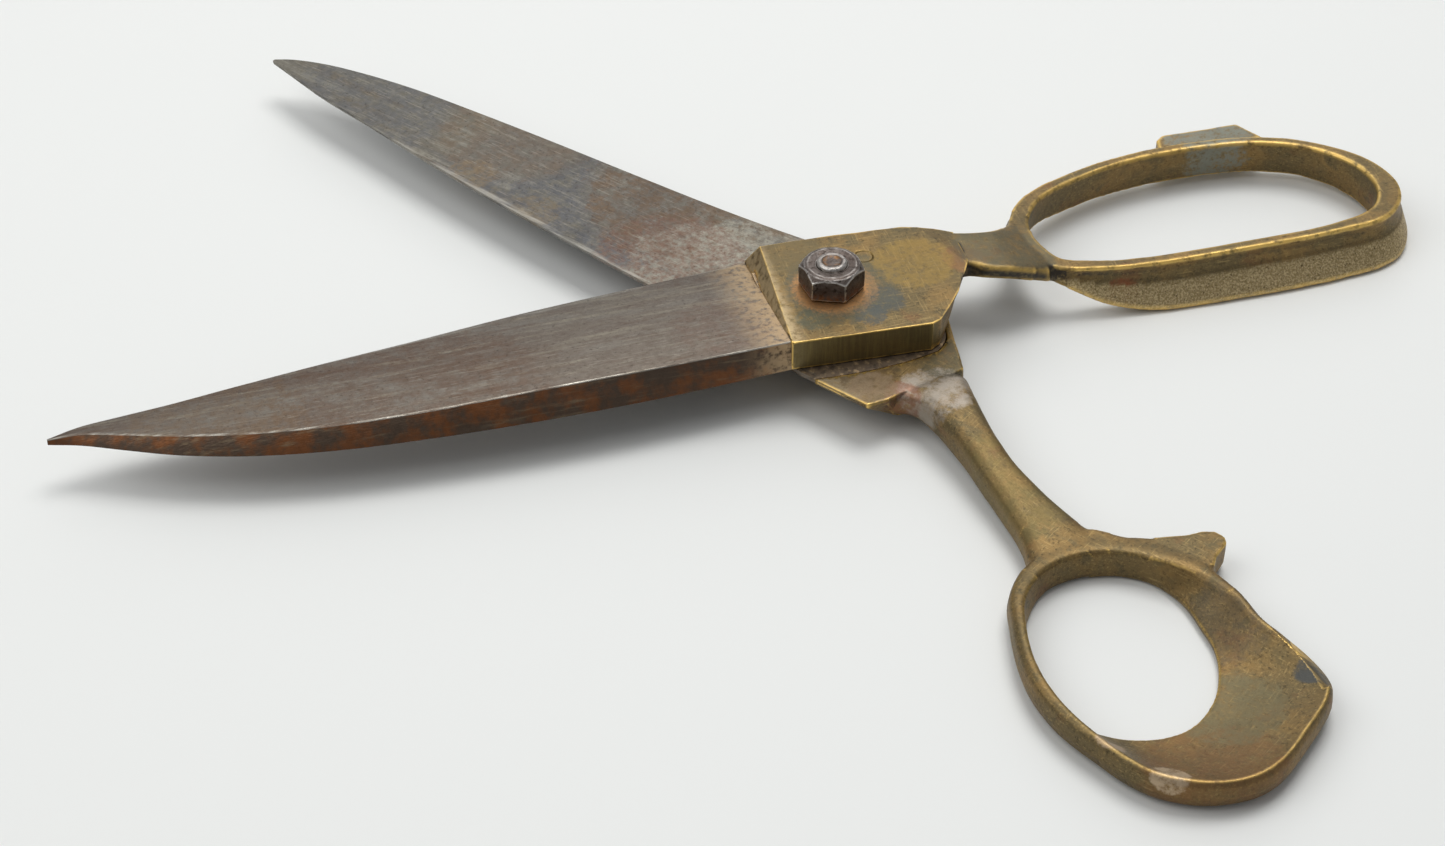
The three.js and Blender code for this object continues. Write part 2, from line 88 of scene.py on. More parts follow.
# %% Camera, floor and light
camera_data = bpy.data.cameras.new("camera")
camera_data.sensor_width = 36.0
camera_data.lens = 74.74
camera = bpy.data.objects.new("camera", camera_data)
bpy.context.collection.objects.link(camera)
camera.location = (-0.02265, -0.49635, 0.39740)
camera.rotation_euler = (math.radians(90 - 40.07), 0, 0)
bpy.context.scene.camera = camera
bpy.context.scene.view_settings.view_transform = "Standard"


def linear(colour):
    """An sRGB hex colour as the linear red, green, blue and alpha that a shader takes."""
    channels = [int(colour[i:i + 2], 16) / 255 for i in (1, 3, 5)]
    return [c / 12.92 if c <= 0.04045 else ((c + 0.055) / 1.055) ** 2.4 for c in channels] + [1]


def new_material(name):
    material = bpy.data.materials.new(name)
    material.use_nodes = True
    material.node_tree.nodes.clear()
    return material, material.node_tree


def put(tree, kind, inputs=None, **settings):
    """Adds a node, sets its settings, and sets or links its inputs."""
    made = tree.nodes.new(kind)
    for name, value in settings.items():
        setattr(made, name, value)
    for name, value in (inputs or {}).items():
        if isinstance(value, bpy.types.NodeSocket):
            tree.links.new(value, made.inputs[name])
        else:
            made.inputs[name].default_value = value
    return made


floor_shape = bmesh.new()
bmesh.ops.create_grid(floor_shape, x_segments=1, y_segments=1, size=3.0)
floor_mesh = bpy.data.meshes.new("bench_top")
floor_shape.to_mesh(floor_mesh)
floor_shape.free()
floor = bpy.data.objects.new("bench_top", floor_mesh)
bpy.context.collection.objects.link(floor)
bench_paint, tree = new_material("painted_bench_top")
shader = put(tree, "ShaderNodeBsdfPrincipled", {"Base Color": linear("#e4e5e2"), "Roughness": 0.6})
put(tree, "ShaderNodeOutputMaterial", {"Surface": shader.outputs[0]})
floor_mesh.materials.append(bench_paint)


def soft_light(name, place, aim, width, power):
    """A square studio light of a given width, turned towards a point."""
    data = bpy.data.lights.new(name, "AREA")
    data.size = width
    data.energy = power
    lamp = bpy.data.objects.new(name, data)
    bpy.context.collection.objects.link(lamp)
    lamp.location = place
    lamp.rotation_euler = (Vector(aim) - Vector(place)).to_track_quat("-Z", "Y").to_euler()


soft_light("key_softbox", (0.20, 0.40, 1.30), (0, 0, 0), 0.7, 9.5)
soft_light("left_softbox", (-0.75, -0.15, 0.95), (0, 0, 0), 1.0, 5.5)
soft_light("back_card", (0.00, 1.30, 0.95), (0, 0, 0), 1.2, 5.0)
world = bpy.data.worlds.new("studio")
world.use_nodes = True
world.node_tree.nodes["Background"].inputs["Color"].default_value = linear("#f4f6fa")
world.node_tree.nodes["Background"].inputs["Strength"].default_value = 0.32
bpy.context.scene.world = world
print("lens", camera_data.lens, "mm")

# %% [markdown]
# ## Making shapes
# A forging or a casting is easiest to describe by sections along its length. Each
# section becomes a ring of vertices, and Bridge Loops joins ring to ring, as a
# boatbuilder planks over frames. Few stations are given, and a smooth curve through
# them gives the rest.

# %% Sections and lofts
def smooth_rows(rows, steps, closed=False):
    """Rows of numbers with smooth rows between them (a centripetal curve in x and y)."""
    rows = np.array(rows, float)
    count = len(rows)
    pick = (lambda i: rows[i % count]) if closed else (lambda i: rows[min(max(i, 0), count - 1)])
    smooth = []
    for i in range(count if closed else count - 1):
        near, start, end, far = pick(i - 1), pick(i), pick(i + 1), pick(i + 2)
        knots = [0.0]
        for a, b in ((near, start), (start, end), (end, far)):
            knots.append(knots[-1] + max(np.hypot(*(b - a)[:2]), 1e-6) ** 0.5)
        slope_in = (start - near) / knots[1] - (end - near) / knots[2] + (end - start) / (knots[2] - knots[1])
        slope_out = ((end - start) / (knots[2] - knots[1]) - (far - start) / (knots[3] - knots[1])
                     + (far - end) / (knots[3] - knots[2]))
        if not closed and i == 0:
            slope_in = (end - start) / (knots[2] - knots[1])
        if not closed and i == count - 2:
            slope_out = (end - start) / (knots[2] - knots[1])
        span = knots[2] - knots[1]
        for step in range(steps):
            t = step / steps
            smooth.append((2 * t**3 - 3 * t**2 + 1) * start + (t**3 - 2 * t**2 + t) * span * slope_in
                          + (3 * t**2 - 2 * t**3) * end + (t**3 - t**2) * span * slope_out)
    if not closed:
        smooth.append(rows[-1])
    return smooth


def loft(sections, closed=False):
    """A bmesh bridged through rings of points in millimetres, capped unless it is closed."""
    shape = bmesh.new()
    rings = []
    for section in sections:
        corners = [shape.verts.new(Vector(point) * MM) for point in section]
        rings.append([shape.edges.new(pair) for pair in zip(corners, corners[1:] + corners[:1])])
    for near, far in zip(rings, rings[1:] + (rings[:1] if closed else [])):
        bmesh.ops.bridge_loops(shape, edges=near + far)
    if not closed:
        for end in (rings[0], rings[-1]):
            bmesh.ops.contextual_create(shape, geom=end)
    bmesh.ops.recalc_face_normals(shape, faces=shape.faces)
    return shape


def plate_of(outline, low, high):
    """A flat plate with the given outline, between two heights."""
    shape = bmesh.new()
    face = shape.faces.new([shape.verts.new(Vector((x, y, low)) * MM) for x, y in outline])
    raised = bmesh.ops.extrude_face_region(shape, geom=[face])["geom"]
    lifted = [v for v in raised if isinstance(v, bmesh.types.BMVert)]
    bmesh.ops.translate(shape, verts=lifted, vec=(0, 0, (high - low) * MM))
    bmesh.ops.recalc_face_normals(shape, faces=shape.faces)
    return shape


def bevel(shape, edges, width, segments):
    """Bevels edges by a width in millimetres, and gives the faces that this makes."""
    return bmesh.ops.bevel(shape, geom=edges, offset=width * MM, affect="EDGES", segments=segments,
                           profile=0.5, material=-1, clamp_overlap=True)["faces"]


def slice_at(shape, place, normal, **settings):
    """Cuts every face that a plane crosses."""
    whole = shape.verts[:] + shape.edges[:] + shape.faces[:]
    return bmesh.ops.bisect_plane(shape, geom=whole, plane_co=place, plane_no=normal, **settings)


def round_bar(radius, low, high, x=0.0, y=0.0, sides=48):
    shape = bmesh.new()
    middle = Matrix.Translation(Vector((x, y, (low + high) / 2)) * MM)
    bmesh.ops.create_cone(shape, cap_ends=True, segments=sides, radius1=radius * MM,
                          radius2=radius * MM, depth=(high - low) * MM, matrix=middle)
    return shape


def square_bar(width, low, high):
    half = width / 2
    return plate_of([(-half, -half), (half, -half), (half, half), (-half, half)], low, high)


# %% [markdown]
# ## Joining and cutting
# A pattern maker builds a handle from simple shapes and then fills every inside
# corner, because molten brass needs soft corners. Remesh does both at once: it
# takes overlapping shapes as one skin, and a few passes of Smooth Vertices round
# the corners. Slots and holes are cut with Boolean after that, so their rims stay
# crisp.

# %% Joining and cutting
def piece_from(name, *shapes):
    """One mesh object, at the origin, that holds all the given shapes."""
    mesh = bpy.data.meshes.new(name)
    whole = bmesh.new()
    for shape in shapes:
        shape.to_mesh(mesh)
        shape.free()
        whole.from_mesh(mesh)
    whole.to_mesh(mesh)
    whole.free()
    piece = bpy.data.objects.new(name, mesh)
    bpy.context.collection.objects.link(piece)
    return piece


def bake_modifiers(piece):
    graph = bpy.context.evaluated_depsgraph_get()
    made = bpy.data.meshes.new_from_object(piece.evaluated_get(graph))
    old = piece.data
    piece.modifiers.clear()
    piece.data = made
    bpy.data.meshes.remove(old)
    made.name = piece.name


def combine(piece, shape, operation="DIFFERENCE"):
    """Cuts a shape out of a piece, joins it on, or keeps only what both hold."""
    tool = piece_from("tool", shape)
    cut = piece.modifiers.new("cut", "BOOLEAN")
    cut.object, cut.operation, cut.solver = tool, operation, "MANIFOLD"
    bake_modifiers(piece)
    bpy.data.meshes.remove(tool.data)


def drill(piece, pivot=True, square=False):
    """Cuts the rivet's hole, and the pivot's round or square one where asked."""
    if square:
        combine(piece, square_bar(SQUARE_HOLE, 0, SQUARE_HOLE_TOP))
    if pivot:
        combine(piece, round_bar(PIVOT_HOLE, *THROUGH))
    combine(piece, round_bar(RIVET_RADIUS, *THROUGH, *RIVET_PLACE))


def blend_at(piece, centre, radius, passes):
    """Smooths the vertices near one place, as a fillet worked into that corner."""
    shape = bmesh.new()
    shape.from_mesh(piece.data)
    near = [v for v in shape.verts if (v.co / MM - Vector(centre)).length < radius]
    for _ in range(passes):
        bmesh.ops.smooth_vert(shape, verts=near, factor=0.5,
                              use_axis_x=True, use_axis_y=True, use_axis_z=True)
    shape.to_mesh(piece.data)
    shape.free()


def soften(piece, grain, passes=2):
    """One skin over all of a piece's shapes, with all its corners rounded."""
    skin = piece.modifiers.new("skin", "REMESH")
    skin.mode, skin.voxel_size = "VOXEL", grain * MM
    bake_modifiers(piece)
    blend_at(piece, (0, 0, 0), math.inf, passes)
    print(piece.name, len(piece.data.polygons), "faces")


def dent(piece, size, depth):
    """Pushes the surface in and out, in soft dents of one size and depth in millimetres."""
    shape = bmesh.new()
    shape.from_mesh(piece.data)
    shape.normal_update()
    for vertex in shape.verts:
        vertex.co += vertex.normal * noise.noise(vertex.co / (size * MM)) * depth * MM
    shape.to_mesh(piece.data)
    shape.free()


# %% [markdown]
# ## Where wear and dirt go
# Handling polishes every outward edge and leaves dirt in every inward corner. Both
# are measured on the mesh itself: at each vertex, how far the neighbours lie below
# or above its tangent plane. The result is kept as attributes that travel with the
# surface, so the pattern stays on the piece in every pose.

# %% Wear attributes
def add_attribute(piece, name, values):
    attribute = piece.data.attributes.new(name, "FLOAT", "POINT")
    attribute.data.foreach_set("value", np.asarray(values, np.float32))


def read_attribute(piece, name):
    values = np.empty(len(piece.data.vertices))
    piece.data.attributes[name].data.foreach_get("value", values)
    return values


def change_attribute(piece, name, values):
    piece.data.attributes[name].data.foreach_set("value", values.astype(np.float32))


def leave_unmarked(piece, *names):
    for name in names:
        add_attribute(piece, name, np.zeros(len(piece.data.vertices)))


def vertex_places(piece):
    places = np.empty(len(piece.data.vertices) * 3)
    piece.data.vertices.foreach_get("co", places)
    return places.reshape(-1, 3)


def mark_edges(piece, spread, keen=1.0):
    """Adds worn_edge and hollow, each from 0 to 1, spread over a few rings of vertices."""
    places = vertex_places(piece)
    normals = np.array([n.vector for n in piece.data.vertex_normals])
    ends = np.empty(len(piece.data.edges) * 2, int)
    piece.data.edges.foreach_get("vertices", ends)
    a, b = ends.reshape(-1, 2).T
    run = places[b] - places[a]
    run /= np.linalg.norm(run, axis=1, keepdims=True) + 1e-12
    count = len(places)
    neighbours = np.bincount(a, minlength=count) + np.bincount(b, minlength=count)
    bend = (np.bincount(a, (normals[a] * run).sum(1), count)
            - np.bincount(b, (normals[b] * run).sum(1), count)) / neighbours
    for _ in range(spread):
        bend = (np.bincount(a, bend[b], count) + np.bincount(b, bend[a], count)) / neighbours
    add_attribute(piece, "worn_edge", np.clip((-bend * keen - 0.05) / 0.16, 0, 1))
    add_attribute(piece, "hollow", np.clip((bend * keen - 0.02) / 0.10, 0, 1))


def finish_piece(piece, body, replaced, material, sharp=None):
    """Turns a piece open with its half, gives it its finish and body, and hides the CAD parts that it
    replaces.
    """
    piece.data.transform(Matrix.Rotation(TURNS[body], 4, "Z"))
    piece.data.shade_smooth()
    if sharp:
        piece.data.set_sharp_from_angle(angle=math.radians(sharp))
    piece.data.materials.clear()
    piece.data.materials.append(material)
    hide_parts(*replaced)
    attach(piece, body)
    print(piece.name, "is", (np.ptp(vertex_places(piece), axis=0) / MM).round(1), "mm")


# %% [markdown]
# ## Colour by layers
# Old metal is read in layers: the metal, the brown skin over it, stains in patches,
# dirt in the corners and bright metal where it rubs. Each layer is one colour mixed
# over the last by a mask, and each mask is a noise at a real size in millimetres.

# %% Layer helpers
def layer(tree, under, colour, mask):
    """One colour, or one value, laid over another where the mask is 1."""
    kind = "RGBA" if isinstance(colour, str) else "FLOAT"
    first, second, out = (6, 7, 2) if kind == "RGBA" else (2, 3, 0)
    over = linear(colour) if kind == "RGBA" else colour
    mix = put(tree, "ShaderNodeMix", {0: mask, first: under, second: over}, data_type=kind)
    return mix.outputs[out]


def ramp(tree, value, low, high, most=1.0):
    """0 below low, the most above high, and smooth between them."""
    limits = {"Value": value, "From Min": low, "From Max": high, "To Max": most}
    return put(tree, "ShaderNodeMapRange", limits, interpolation_type="SMOOTHSTEP").outputs["Result"]


def cloud(tree, place, size, detail, rough=0.5):
    """Noise about a size in millimetres."""
    settings = {"Vector": place, "Scale": 1 / (size * MM), "Detail": detail, "Roughness": rough}
    return put(tree, "ShaderNodeTexNoise", settings).outputs["Fac"]


def patches(tree, place, size, low, high, detail=4.0, most=1.0):
    """Noise patches, sharpened between low and high."""
    return ramp(tree, cloud(tree, place, size, detail, 0.6), low, high, most)


def skins(tree, place, colour, rows):
    """Patchy layers: each a colour and then what patches takes."""
    for over, *patch in rows:
        colour = layer(tree, colour, over, patches(tree, place, *patch))
    return colour


def both(tree, a, b, operation="MULTIPLY"):
    return put(tree, "ShaderNodeMath", {0: a, 1: b}, operation=operation).outputs[0]


def closed_place(tree, turn, stretch=(1, 1, 1)):
    """The place on a half as it was drawn closed, and stretched along the blade if asked."""
    place = put(tree, "ShaderNodeTexCoord").outputs["Object"]
    turned = put(tree, "ShaderNodeMapping", {"Vector": place, "Rotation": (0, 0, -turn)})
    return put(tree, "ShaderNodeMapping", {"Vector": turned.outputs[0], "Scale": stretch}).outputs[0]


def attribute(tree, name):
    return put(tree, "ShaderNodeAttribute", attribute_name=name).outputs["Fac"]


def finish_shader(tree, colour, roughness, metallic, height, depth):
    """Principled metal over a bump whose full height is given in millimetres."""
    bump = put(tree, "ShaderNodeBump", {"Height": height, "Distance": depth * MM, "Strength": 1.0})
    look = {"Base Color": colour, "Roughness": roughness, "Metallic": metallic, "Normal": bump.outputs[0]}
    shader = put(tree, "ShaderNodeBsdfPrincipled", look)
    put(tree, "ShaderNodeOutputMaterial", {"Surface": shader.outputs[0]})


# %% [markdown]
# ## Aged sand-cast brass
# Real thing: yellow brass poured in sand, filed where it shows, then a century of
# hands. The eye sees an olive-brown skin with gold under it, reddish patches where
# zinc has left the surface, dark grains in the corners and bright lines where edges
# rub. Metallic is fairly high on the skin and drops in the dirt and painted shade.
# On the rubbed lines it is held to about half, so they keep their gold whatever they mirror.

# %% Cast brass
def near_spot(tree, place, centre, radius):
    """1 near a place in millimetres on the closed half, falling to 0 at the radius."""
    away = put(tree, "ShaderNodeVectorMath", {0: place, 1: Vector(centre) * MM}, operation="DISTANCE")
    return ramp(tree, away.outputs["Value"], radius * MM, radius * 0.6 * MM)


NEARNESS = 0.45  # how much being near the centre adds to a stain's noise
FADE = 0.26  # how far above its threshold a stain is full


def spotted(tree, place, colour, spots, cover):
    """Ragged patches at given places: centre, reach, colour, grain size and strength. Most are stains; on the
    lower brass a few are painted shadow, sheen and highlights.
    """
    for centre, radius, spot, size, most in spots:
        near = both(tree, near_spot(tree, place, centre, radius), NEARNESS)
        ragged = both(tree, near, cloud(tree, place, size, 7.0, 0.75), "ADD")
        colour = layer(tree, colour, spot, ramp(tree, ragged, cover, cover + FADE, most))
    return colour


# Colour, patch size, where the patch starts and where it is full, detail, strength.
BRASS_SKINS = [
    ("#866c42", 12, 0.38, 0.62, 4), ("#57513c", 6, 0.5, 0.66, 5, 0.75), ("#7a5336", 8, 0.56, 0.7, 6, 0.5),
    ("#9a8253", 0.6, 0.52, 0.7, 4, 0.55), ("#3c3323", 0.8, 0.52, 0.68, 6, 0.6),
]


def cast_brass(title, turn, spots):
    material, tree = new_material(title)
    place = closed_place(tree, turn)
    names = ("worn_edge", "hollow", "as_cast", "filed")
    worn, hollow, as_cast, filed = (attribute(tree, name) for name in names)
    colour = skins(tree, place, linear("#6a5c3f"), BRASS_SKINS)
    # Hair scratches across and along, about 0.3 mm apart.
    for stretch in ((0.06, 1, 1), (1, 0.06, 1)):
        hairs = patches(tree, closed_place(tree, turn, stretch), 0.35, 0.58, 0.72, 2, 0.35)
        colour = layer(tree, colour, "#b79d68", hairs)
    colour = spotted(tree, place, colour, spots, 0.76)
    # Rust from the steel has dusted the bevel in front of the joint.
    front = ramp(tree, put(tree, "ShaderNodeSeparateXYZ", {0: place}).outputs["X"],
                 (BLADE_ROOT + 4.5) * MM, (BLADE_ROOT + 1.0) * MM)
    colour = layer(tree, colour, "#b7a27c", both(tree, front, patches(tree, place, 1.6, 0.3, 0.56, 6, 0.95)))
    # Sand grains about 0.4 mm across: pale tops and dark pits.
    pale = patches(tree, place, 0.4, 0.4, 0.68, 2, 0.8)
    dark = patches(tree, place, 0.5, 0.56, 0.72, 3, 0.8)
    # File strokes down the near side.
    strokes = patches(tree, closed_place(tree, turn, (1, 1, 0.05)), 0.5, 0.4, 0.75, 4, 0.4)
    marks = [("#9b8860", as_cast, 0.85), ("#d2bd92", as_cast, pale), ("#372c1d", as_cast, dark),
             ("#665a3a", filed, 0.85), ("#90804f", filed, strokes)]
    for over, where, much in marks:
        colour = layer(tree, colour, over, both(tree, where, much))
    # Dark grime in the hollows; on the finger bow the hollow mask also holds painted shade on and under the
    # neck.
    dirt_and_shade = both(tree, hollow, patches(tree, place, 1.0, 0.3, 0.55, 5))
    colour = layer(tree, colour, "#1e1710", dirt_and_shade)
    rubbed = both(tree, worn, patches(tree, place, 2.0, 0.28, 0.52, 5, 0.95))
    colour = layer(tree, colour, "#f2c96e", rubbed)
    fine = patches(tree, place, 0.3, 0.3, 0.7, 3)
    roughness = layer(tree, layer(tree, 0.42, 0.58, fine), 0.28, rubbed)
    metallic = layer(tree, layer(tree, 0.78, 0.25, dirt_and_shade), 0.55, rubbed)
    height = both(tree, cloud(tree, place, 0.5, 3.0), layer(tree, 0.3, 1.0, as_cast))
    finish_shader(tree, colour, roughness, metallic, height, 0.13)
    return material


# %% [markdown]
# ## Forged steel
# Real thing: carbon steel, forged, ground along its length and browned by rust. It
# shows fine lengthwise scratches about 0.3 mm apart, red-brown and grey patches, a
# bright ridge where it rubs, and pale rust where it meets the brass. Old brown
# steel is half oxide, so it is less metallic and rougher than clean steel.

# %% Forged steel
def forged_steel(name, turn, skin, streaks, spots, side_rust, edge_line):
    """Brown steel. Streaks run along the blade; stains are patches at given places."""
    material, tree = new_material(name)
    place = closed_place(tree, turn)
    along = closed_place(tree, turn, (0.08, 1, 1))
    split = put(tree, "ShaderNodeSeparateXYZ", {0: place})
    worn, side = attribute(tree, "worn_edge"), attribute(tree, "side")
    colour = linear(skin)
    for over, size, low, high, most in streaks:
        broken = patches(tree, place, size, 0.2, 0.6, 5)
        colour = layer(tree, colour, over, both(tree, patches(tree, along, size, low, high, 5, most), broken))
    colour = spotted(tree, place, colour, spots, 0.80)
    # Hair scratches about 0.3 mm apart and pinpoint rust 0.7 mm across.
    colour = layer(tree, colour, "#a39c8e", patches(tree, along, 0.35, 0.56, 0.74, 2, 0.4))
    colour = layer(tree, colour, "#2b201a", patches(tree, place, 0.7, 0.56, 0.72, 5, 0.5))
    # Painted shade: the side from ridge to back gets a darker base than the top, as shade, under its real
    # rust patches and specks.
    shaded_side_colour = layer(tree, linear("#4c3d31"), side_rust, patches(tree, place, 6, 0.42, 0.62, 5, 0.85))
    shaded_side_colour = layer(tree, shaded_side_colour, "#7b6a52", patches(tree, along, 0.8, 0.54, 0.72, 5, 0.55))
    mix = put(tree, "ShaderNodeMix", {0: both(tree, side, 0.9), 6: colour, 7: shaded_side_colour}, data_type="RGBA")
    colour = mix.outputs[2]
    # Rust creeps out of the joint with the brass, and a darker rust covers the tang behind it. That darker
    # brown also paints the upper plate's shadow on the strip of tang that shows.
    near_root = ramp(tree, split.outputs["X"], (BLADE_ROOT - 11) * MM, (BLADE_ROOT + 1) * MM)
    rust = both(tree, near_root, patches(tree, place, 1.5, 0.32, 0.56, 6, 0.9))
    colour = layer(tree, colour, "#b79c76", rust)
    tang = ramp(tree, split.outputs["X"], (BLADE_ROOT + 6) * MM, (BLADE_ROOT + 16) * MM)
    colour = layer(tree, colour, "#54473a", both(tree, tang, patches(tree, place, 1.2, 0.3, 0.5, 5, 0.85)))
    # The ground strip along the cutting edge.
    slope, level, reach = edge_line
    away = both(tree, split.outputs["Y"], level * MM, "SUBTRACT")
    edge = both(tree, both(tree, split.outputs["X"], slope), away, "SUBTRACT")
    ground = ramp(tree, both(tree, edge, 0.0, "ABSOLUTE"), reach * MM, reach * 0.4 * MM)
    bare = both(tree, ground, patches(tree, along, 1.2, 0.34, 0.6, 4, 0.6))
    ridge = both(tree, worn, patches(tree, along, 1.0, 0.4, 0.62, 4, 0.75))
    bare = both(tree, bare, ridge, "MAXIMUM")
    colour = layer(tree, colour, "#aaa69c", bare)
    roughness = layer(tree, layer(tree, 0.42, 0.58, patches(tree, place, 1.2, 0.4, 0.6)), 0.3, bare)
    metallic = layer(tree, layer(tree, 0.8, 0.3, rust), 1.0, bare)
    pits = both(tree, cloud(tree, place, 0.9, 5.0), 1.4)
    height = both(tree, cloud(tree, along, 0.25, 2.0), pits, "ADD")
    finish_shader(tree, colour, roughness, metallic, height, 0.05)
    return material


# Centre, reach, colour, grain size and strength of each stain, closed, in millimetres.
UPPER_STEEL_STAINS = [
    ((-90, -8, 14), 40, "#68503f", 3, 0.5), ((-45, 0, 14), 30, "#7a7267", 3, 0.5),
    ((-130, -6, 12), 26, "#75614c", 3, 0.6), ((-24, -4, 16), 16, "#6f5c50", 2, 0.6),
]
LOWER_STEEL_STAINS = [
    ((-70, 2, 10), 45, "#57585c", 3, 0.75), ((-130, 2, 10), 30, "#5e5f61", 3, 0.6),
    ((-48, 16, 10), 34, "#6b5844", 3, 0.85), ((-95, 12, 10), 26, "#70614f", 3, 0.7),
    ((-93, -7, 10), 8, "#857050", 2, 0.45), ((-73, -9, 10), 8, "#826f50", 2, 0.4),
    ((-34, -4, 10), 20, "#8f8c80", 2.2, 0.8), ((-30, 7, 10), 13, "#9a978a", 2.0, 0.7),
    ((-38, -6, 10), 24, "#735445", 1.4, 0.6),
]
# Colour, patch size, where the streak starts and where it is full, strength.
UPPER_STREAKS = [
    ("#7c766d", 5, 0.4, 0.62, 0.9), ("#5f4a3c", 3.5, 0.48, 0.66, 0.7), ("#97907f", 1.6, 0.5, 0.7, 0.7),
]
LOWER_STREAKS = [
    ("#5d5b5a", 6, 0.42, 0.64, 0.8), ("#6b6050", 5, 0.48, 0.66, 0.7), ("#8e8a7e", 1.6, 0.48, 0.7, 0.8),
]
# Slope and offset of the cutting edge's line, and how far the ground strip reaches.
UPPER_EDGE, LOWER_EDGE = (0.112, 21.5, 0.7), (-0.094, -18.5, 1.1)
upper_steel = forged_steel("forged_steel_browned", UPPER_TURN, "#6d6258", UPPER_STREAKS, UPPER_STEEL_STAINS,
                           "#74441f", UPPER_EDGE)
lower_steel = forged_steel("forged_steel_greyed", LOWER_TURN, "#6d695f", LOWER_STREAKS, LOWER_STEEL_STAINS,
                           "#6a4a2c", LOWER_EDGE)
# Stains on the brass: rust round the nut, blue-grey and red blotches, rubbed grey skin.
# The lower list also paints light: a painted shadow of the upper plate on the lower plate,
# a painted sheen on the neck's hump, and painted highlights on the thumb bow's near rim.
UPPER_BRASS_STAINS = [
    ((2, -1, 17), 17, "#5b5a4b", 1.6, 0.7), ((9, -7.7, 17), 6.5, "#4e524f", 1.4, 0.7),
    ((5, -11.5, 17), 5, "#50534f", 1.4, 0.8), ((-7, -10, 17), 5, "#575848", 1.4, 0.8),
    ((0.5, -1, 17), 12.5, "#927350", 0.9, 0.8), ((-0.5, -1, 16), 11, "#a87d50", 0.6, 1.0),
    ((102, 43, 8), 15, "#7f8176", 1.5, 0.9), ((30, 2, 17), 7, "#85603f", 2.2, 0.7),
    ((19, 3, 17), 12, "#94793f", 1.5, 0.6), ((-6, 14, 17), 10, "#6c6044", 2.2, 0.7),
    ((64, -3, 4), 6, "#8a5236", 2.2, 0.9), ((40, 5, 15), 16, "#67614c", 2.2, 0.8),
]
LOWER_BRASS_STAINS_AND_PAINTED_LIGHT = [
    # Painted sheen: the pale grey patch at (32, -8.5) on the polished hump of the neck paints its shine as
    # well as its rubbed polish.
    ((32, -8.5, 11), 11, "#a59c90", 3.5, 0.85), ((27, -13, 8), 6, "#80563f", 1.6, 0.7),
    # Painted shadow: the dark patch at (28, 2) darkens the lower plate where the upper plate's shadow falls
    # on it.
    ((28, 2, 10), 9, "#55503e", 2.2, 0.8), ((12, -18, 10), 13, "#8b7f69", 1.0, 0.8),
    ((18, -12, 10), 9, "#55452f", 1.2, 0.7), ((21, -15, 10), 7, "#85725a", 1.5, 0.8),
    ((128, -62, 4), 19, "#7f5c3a", 2.6, 0.5), ((110, -28, 5), 13, "#5e5343", 2.2, 0.5),
    # Painted highlights: the pale patches at (123, -69.5) and (110, -67) paint a glint on the thumb bow's rim
    # nearest the camera.
    ((123, -69.5, 7), 5, "#b9a488", 2.2, 0.9), ((110, -67, 7), 5, "#a8937a", 2.2, 0.8),
    ((122, -45, 4), 14, "#6f674c", 2.2, 0.7), ((58, -24, 9), 20, "#77683f", 3, 0.6),
    ((130.5, -29.6, 5.4), 5.2, "#4f4f4b", 9, 1.0),
]
upper_brass = cast_brass("sand_cast_brass_upper", UPPER_TURN, UPPER_BRASS_STAINS)
lower_brass = cast_brass("sand_cast_brass_lower", LOWER_TURN, LOWER_BRASS_STAINS_AND_PAINTED_LIGHT)

# %% [markdown]
# ## The blades
# Each blade is a long wedge: flat inside, a ridge near the back, and a ground land
# on the cutting edge. A blank could be drawn out of a cube, but the ridge drifts
# along the blade, so a loft through measured stations is simpler. Bevel then gives
# the ridge its worn width, and the bevelled strip is marked to shine.

# %% Blade stations
LAND_HEIGHT = 1.0
LAND_LEAN = 0.2
# x, y of the cutting edge, y of the back, how far in the ridge is, how high it is.
UPPER_BLADE = [
    [-162.5, 0.4, -0.4, 0.3, 1.1], [-156, 2.5, -2.4, 2.0, 1.5], [-148, 3.6, -6.0, 2.8, 2.0],
    [-138, 4.8, -10.3, 3.4, 2.5], [-124, 7.0, -14.4, 3.7, 3.0], [-107, 9.5, -17.2, 3.7, 3.6],
    [-88, 11.9, -18.5, 3.8, 4.2], [-64, 15.2, -18.9, 3.8, 5.1], [-40, 17.6, -18.2, 2.6, 6.0],
    [-24, 19.0, -17.1, 1.4, 6.5], [BLADE_ROOT, 20.0, -16.3, 0.8, 6.7],
]
LOWER_BLADE = [
    [-160, 0.2, 0.9, 0.3, 1.1], [-157, -0.4, 3.1, 1.0, 1.4], [-150, -1.9, 6.2, 1.8, 1.9],
    [-140, -3.9, 8.8, 2.4, 2.4], [-126, -5.7, 11.1, 3.0, 3.0], [-107, -8.4, 12.6, 3.4, 3.6],
    [-88, -10.7, 13.7, 3.6, 4.2], [-64, -13.0, 14.7, 3.6, 5.1], [-40, -14.8, 15.9, 2.6, 6.0],
    [-24, -16.3, 17.3, 1.4, 6.5], [BLADE_ROOT, -17.2, 18.6, 0.8, 6.7],
]


def blade_sections(rows, mate, up):
    """Four corners at each station: cutting edge, top of its land, ridge and back."""
    side = -1 if up > 0 else 1
    sections = []
    for x, cut, back, inset, ridge in smooth_rows(rows, 9):
        sections.append([(x, cut, mate), (x, cut + side * LAND_LEAN, mate + up * LAND_HEIGHT),
                         (x, back - side * inset, mate + up * ridge), (x, back, mate)])
    return sections


def ridge_edges(shape, sections, corner):
    """The run of edges along one corner of a loft."""
    on_corner = {shape.verts[4 * i + corner] for i in range(len(sections))}
    return [edge for edge in shape.edges if all(v in on_corner for v in edge.verts)]


RIDGE_WIDTH = 0.3
EDGE_BREAK = 0.15
INTO_BRASS = 0.8


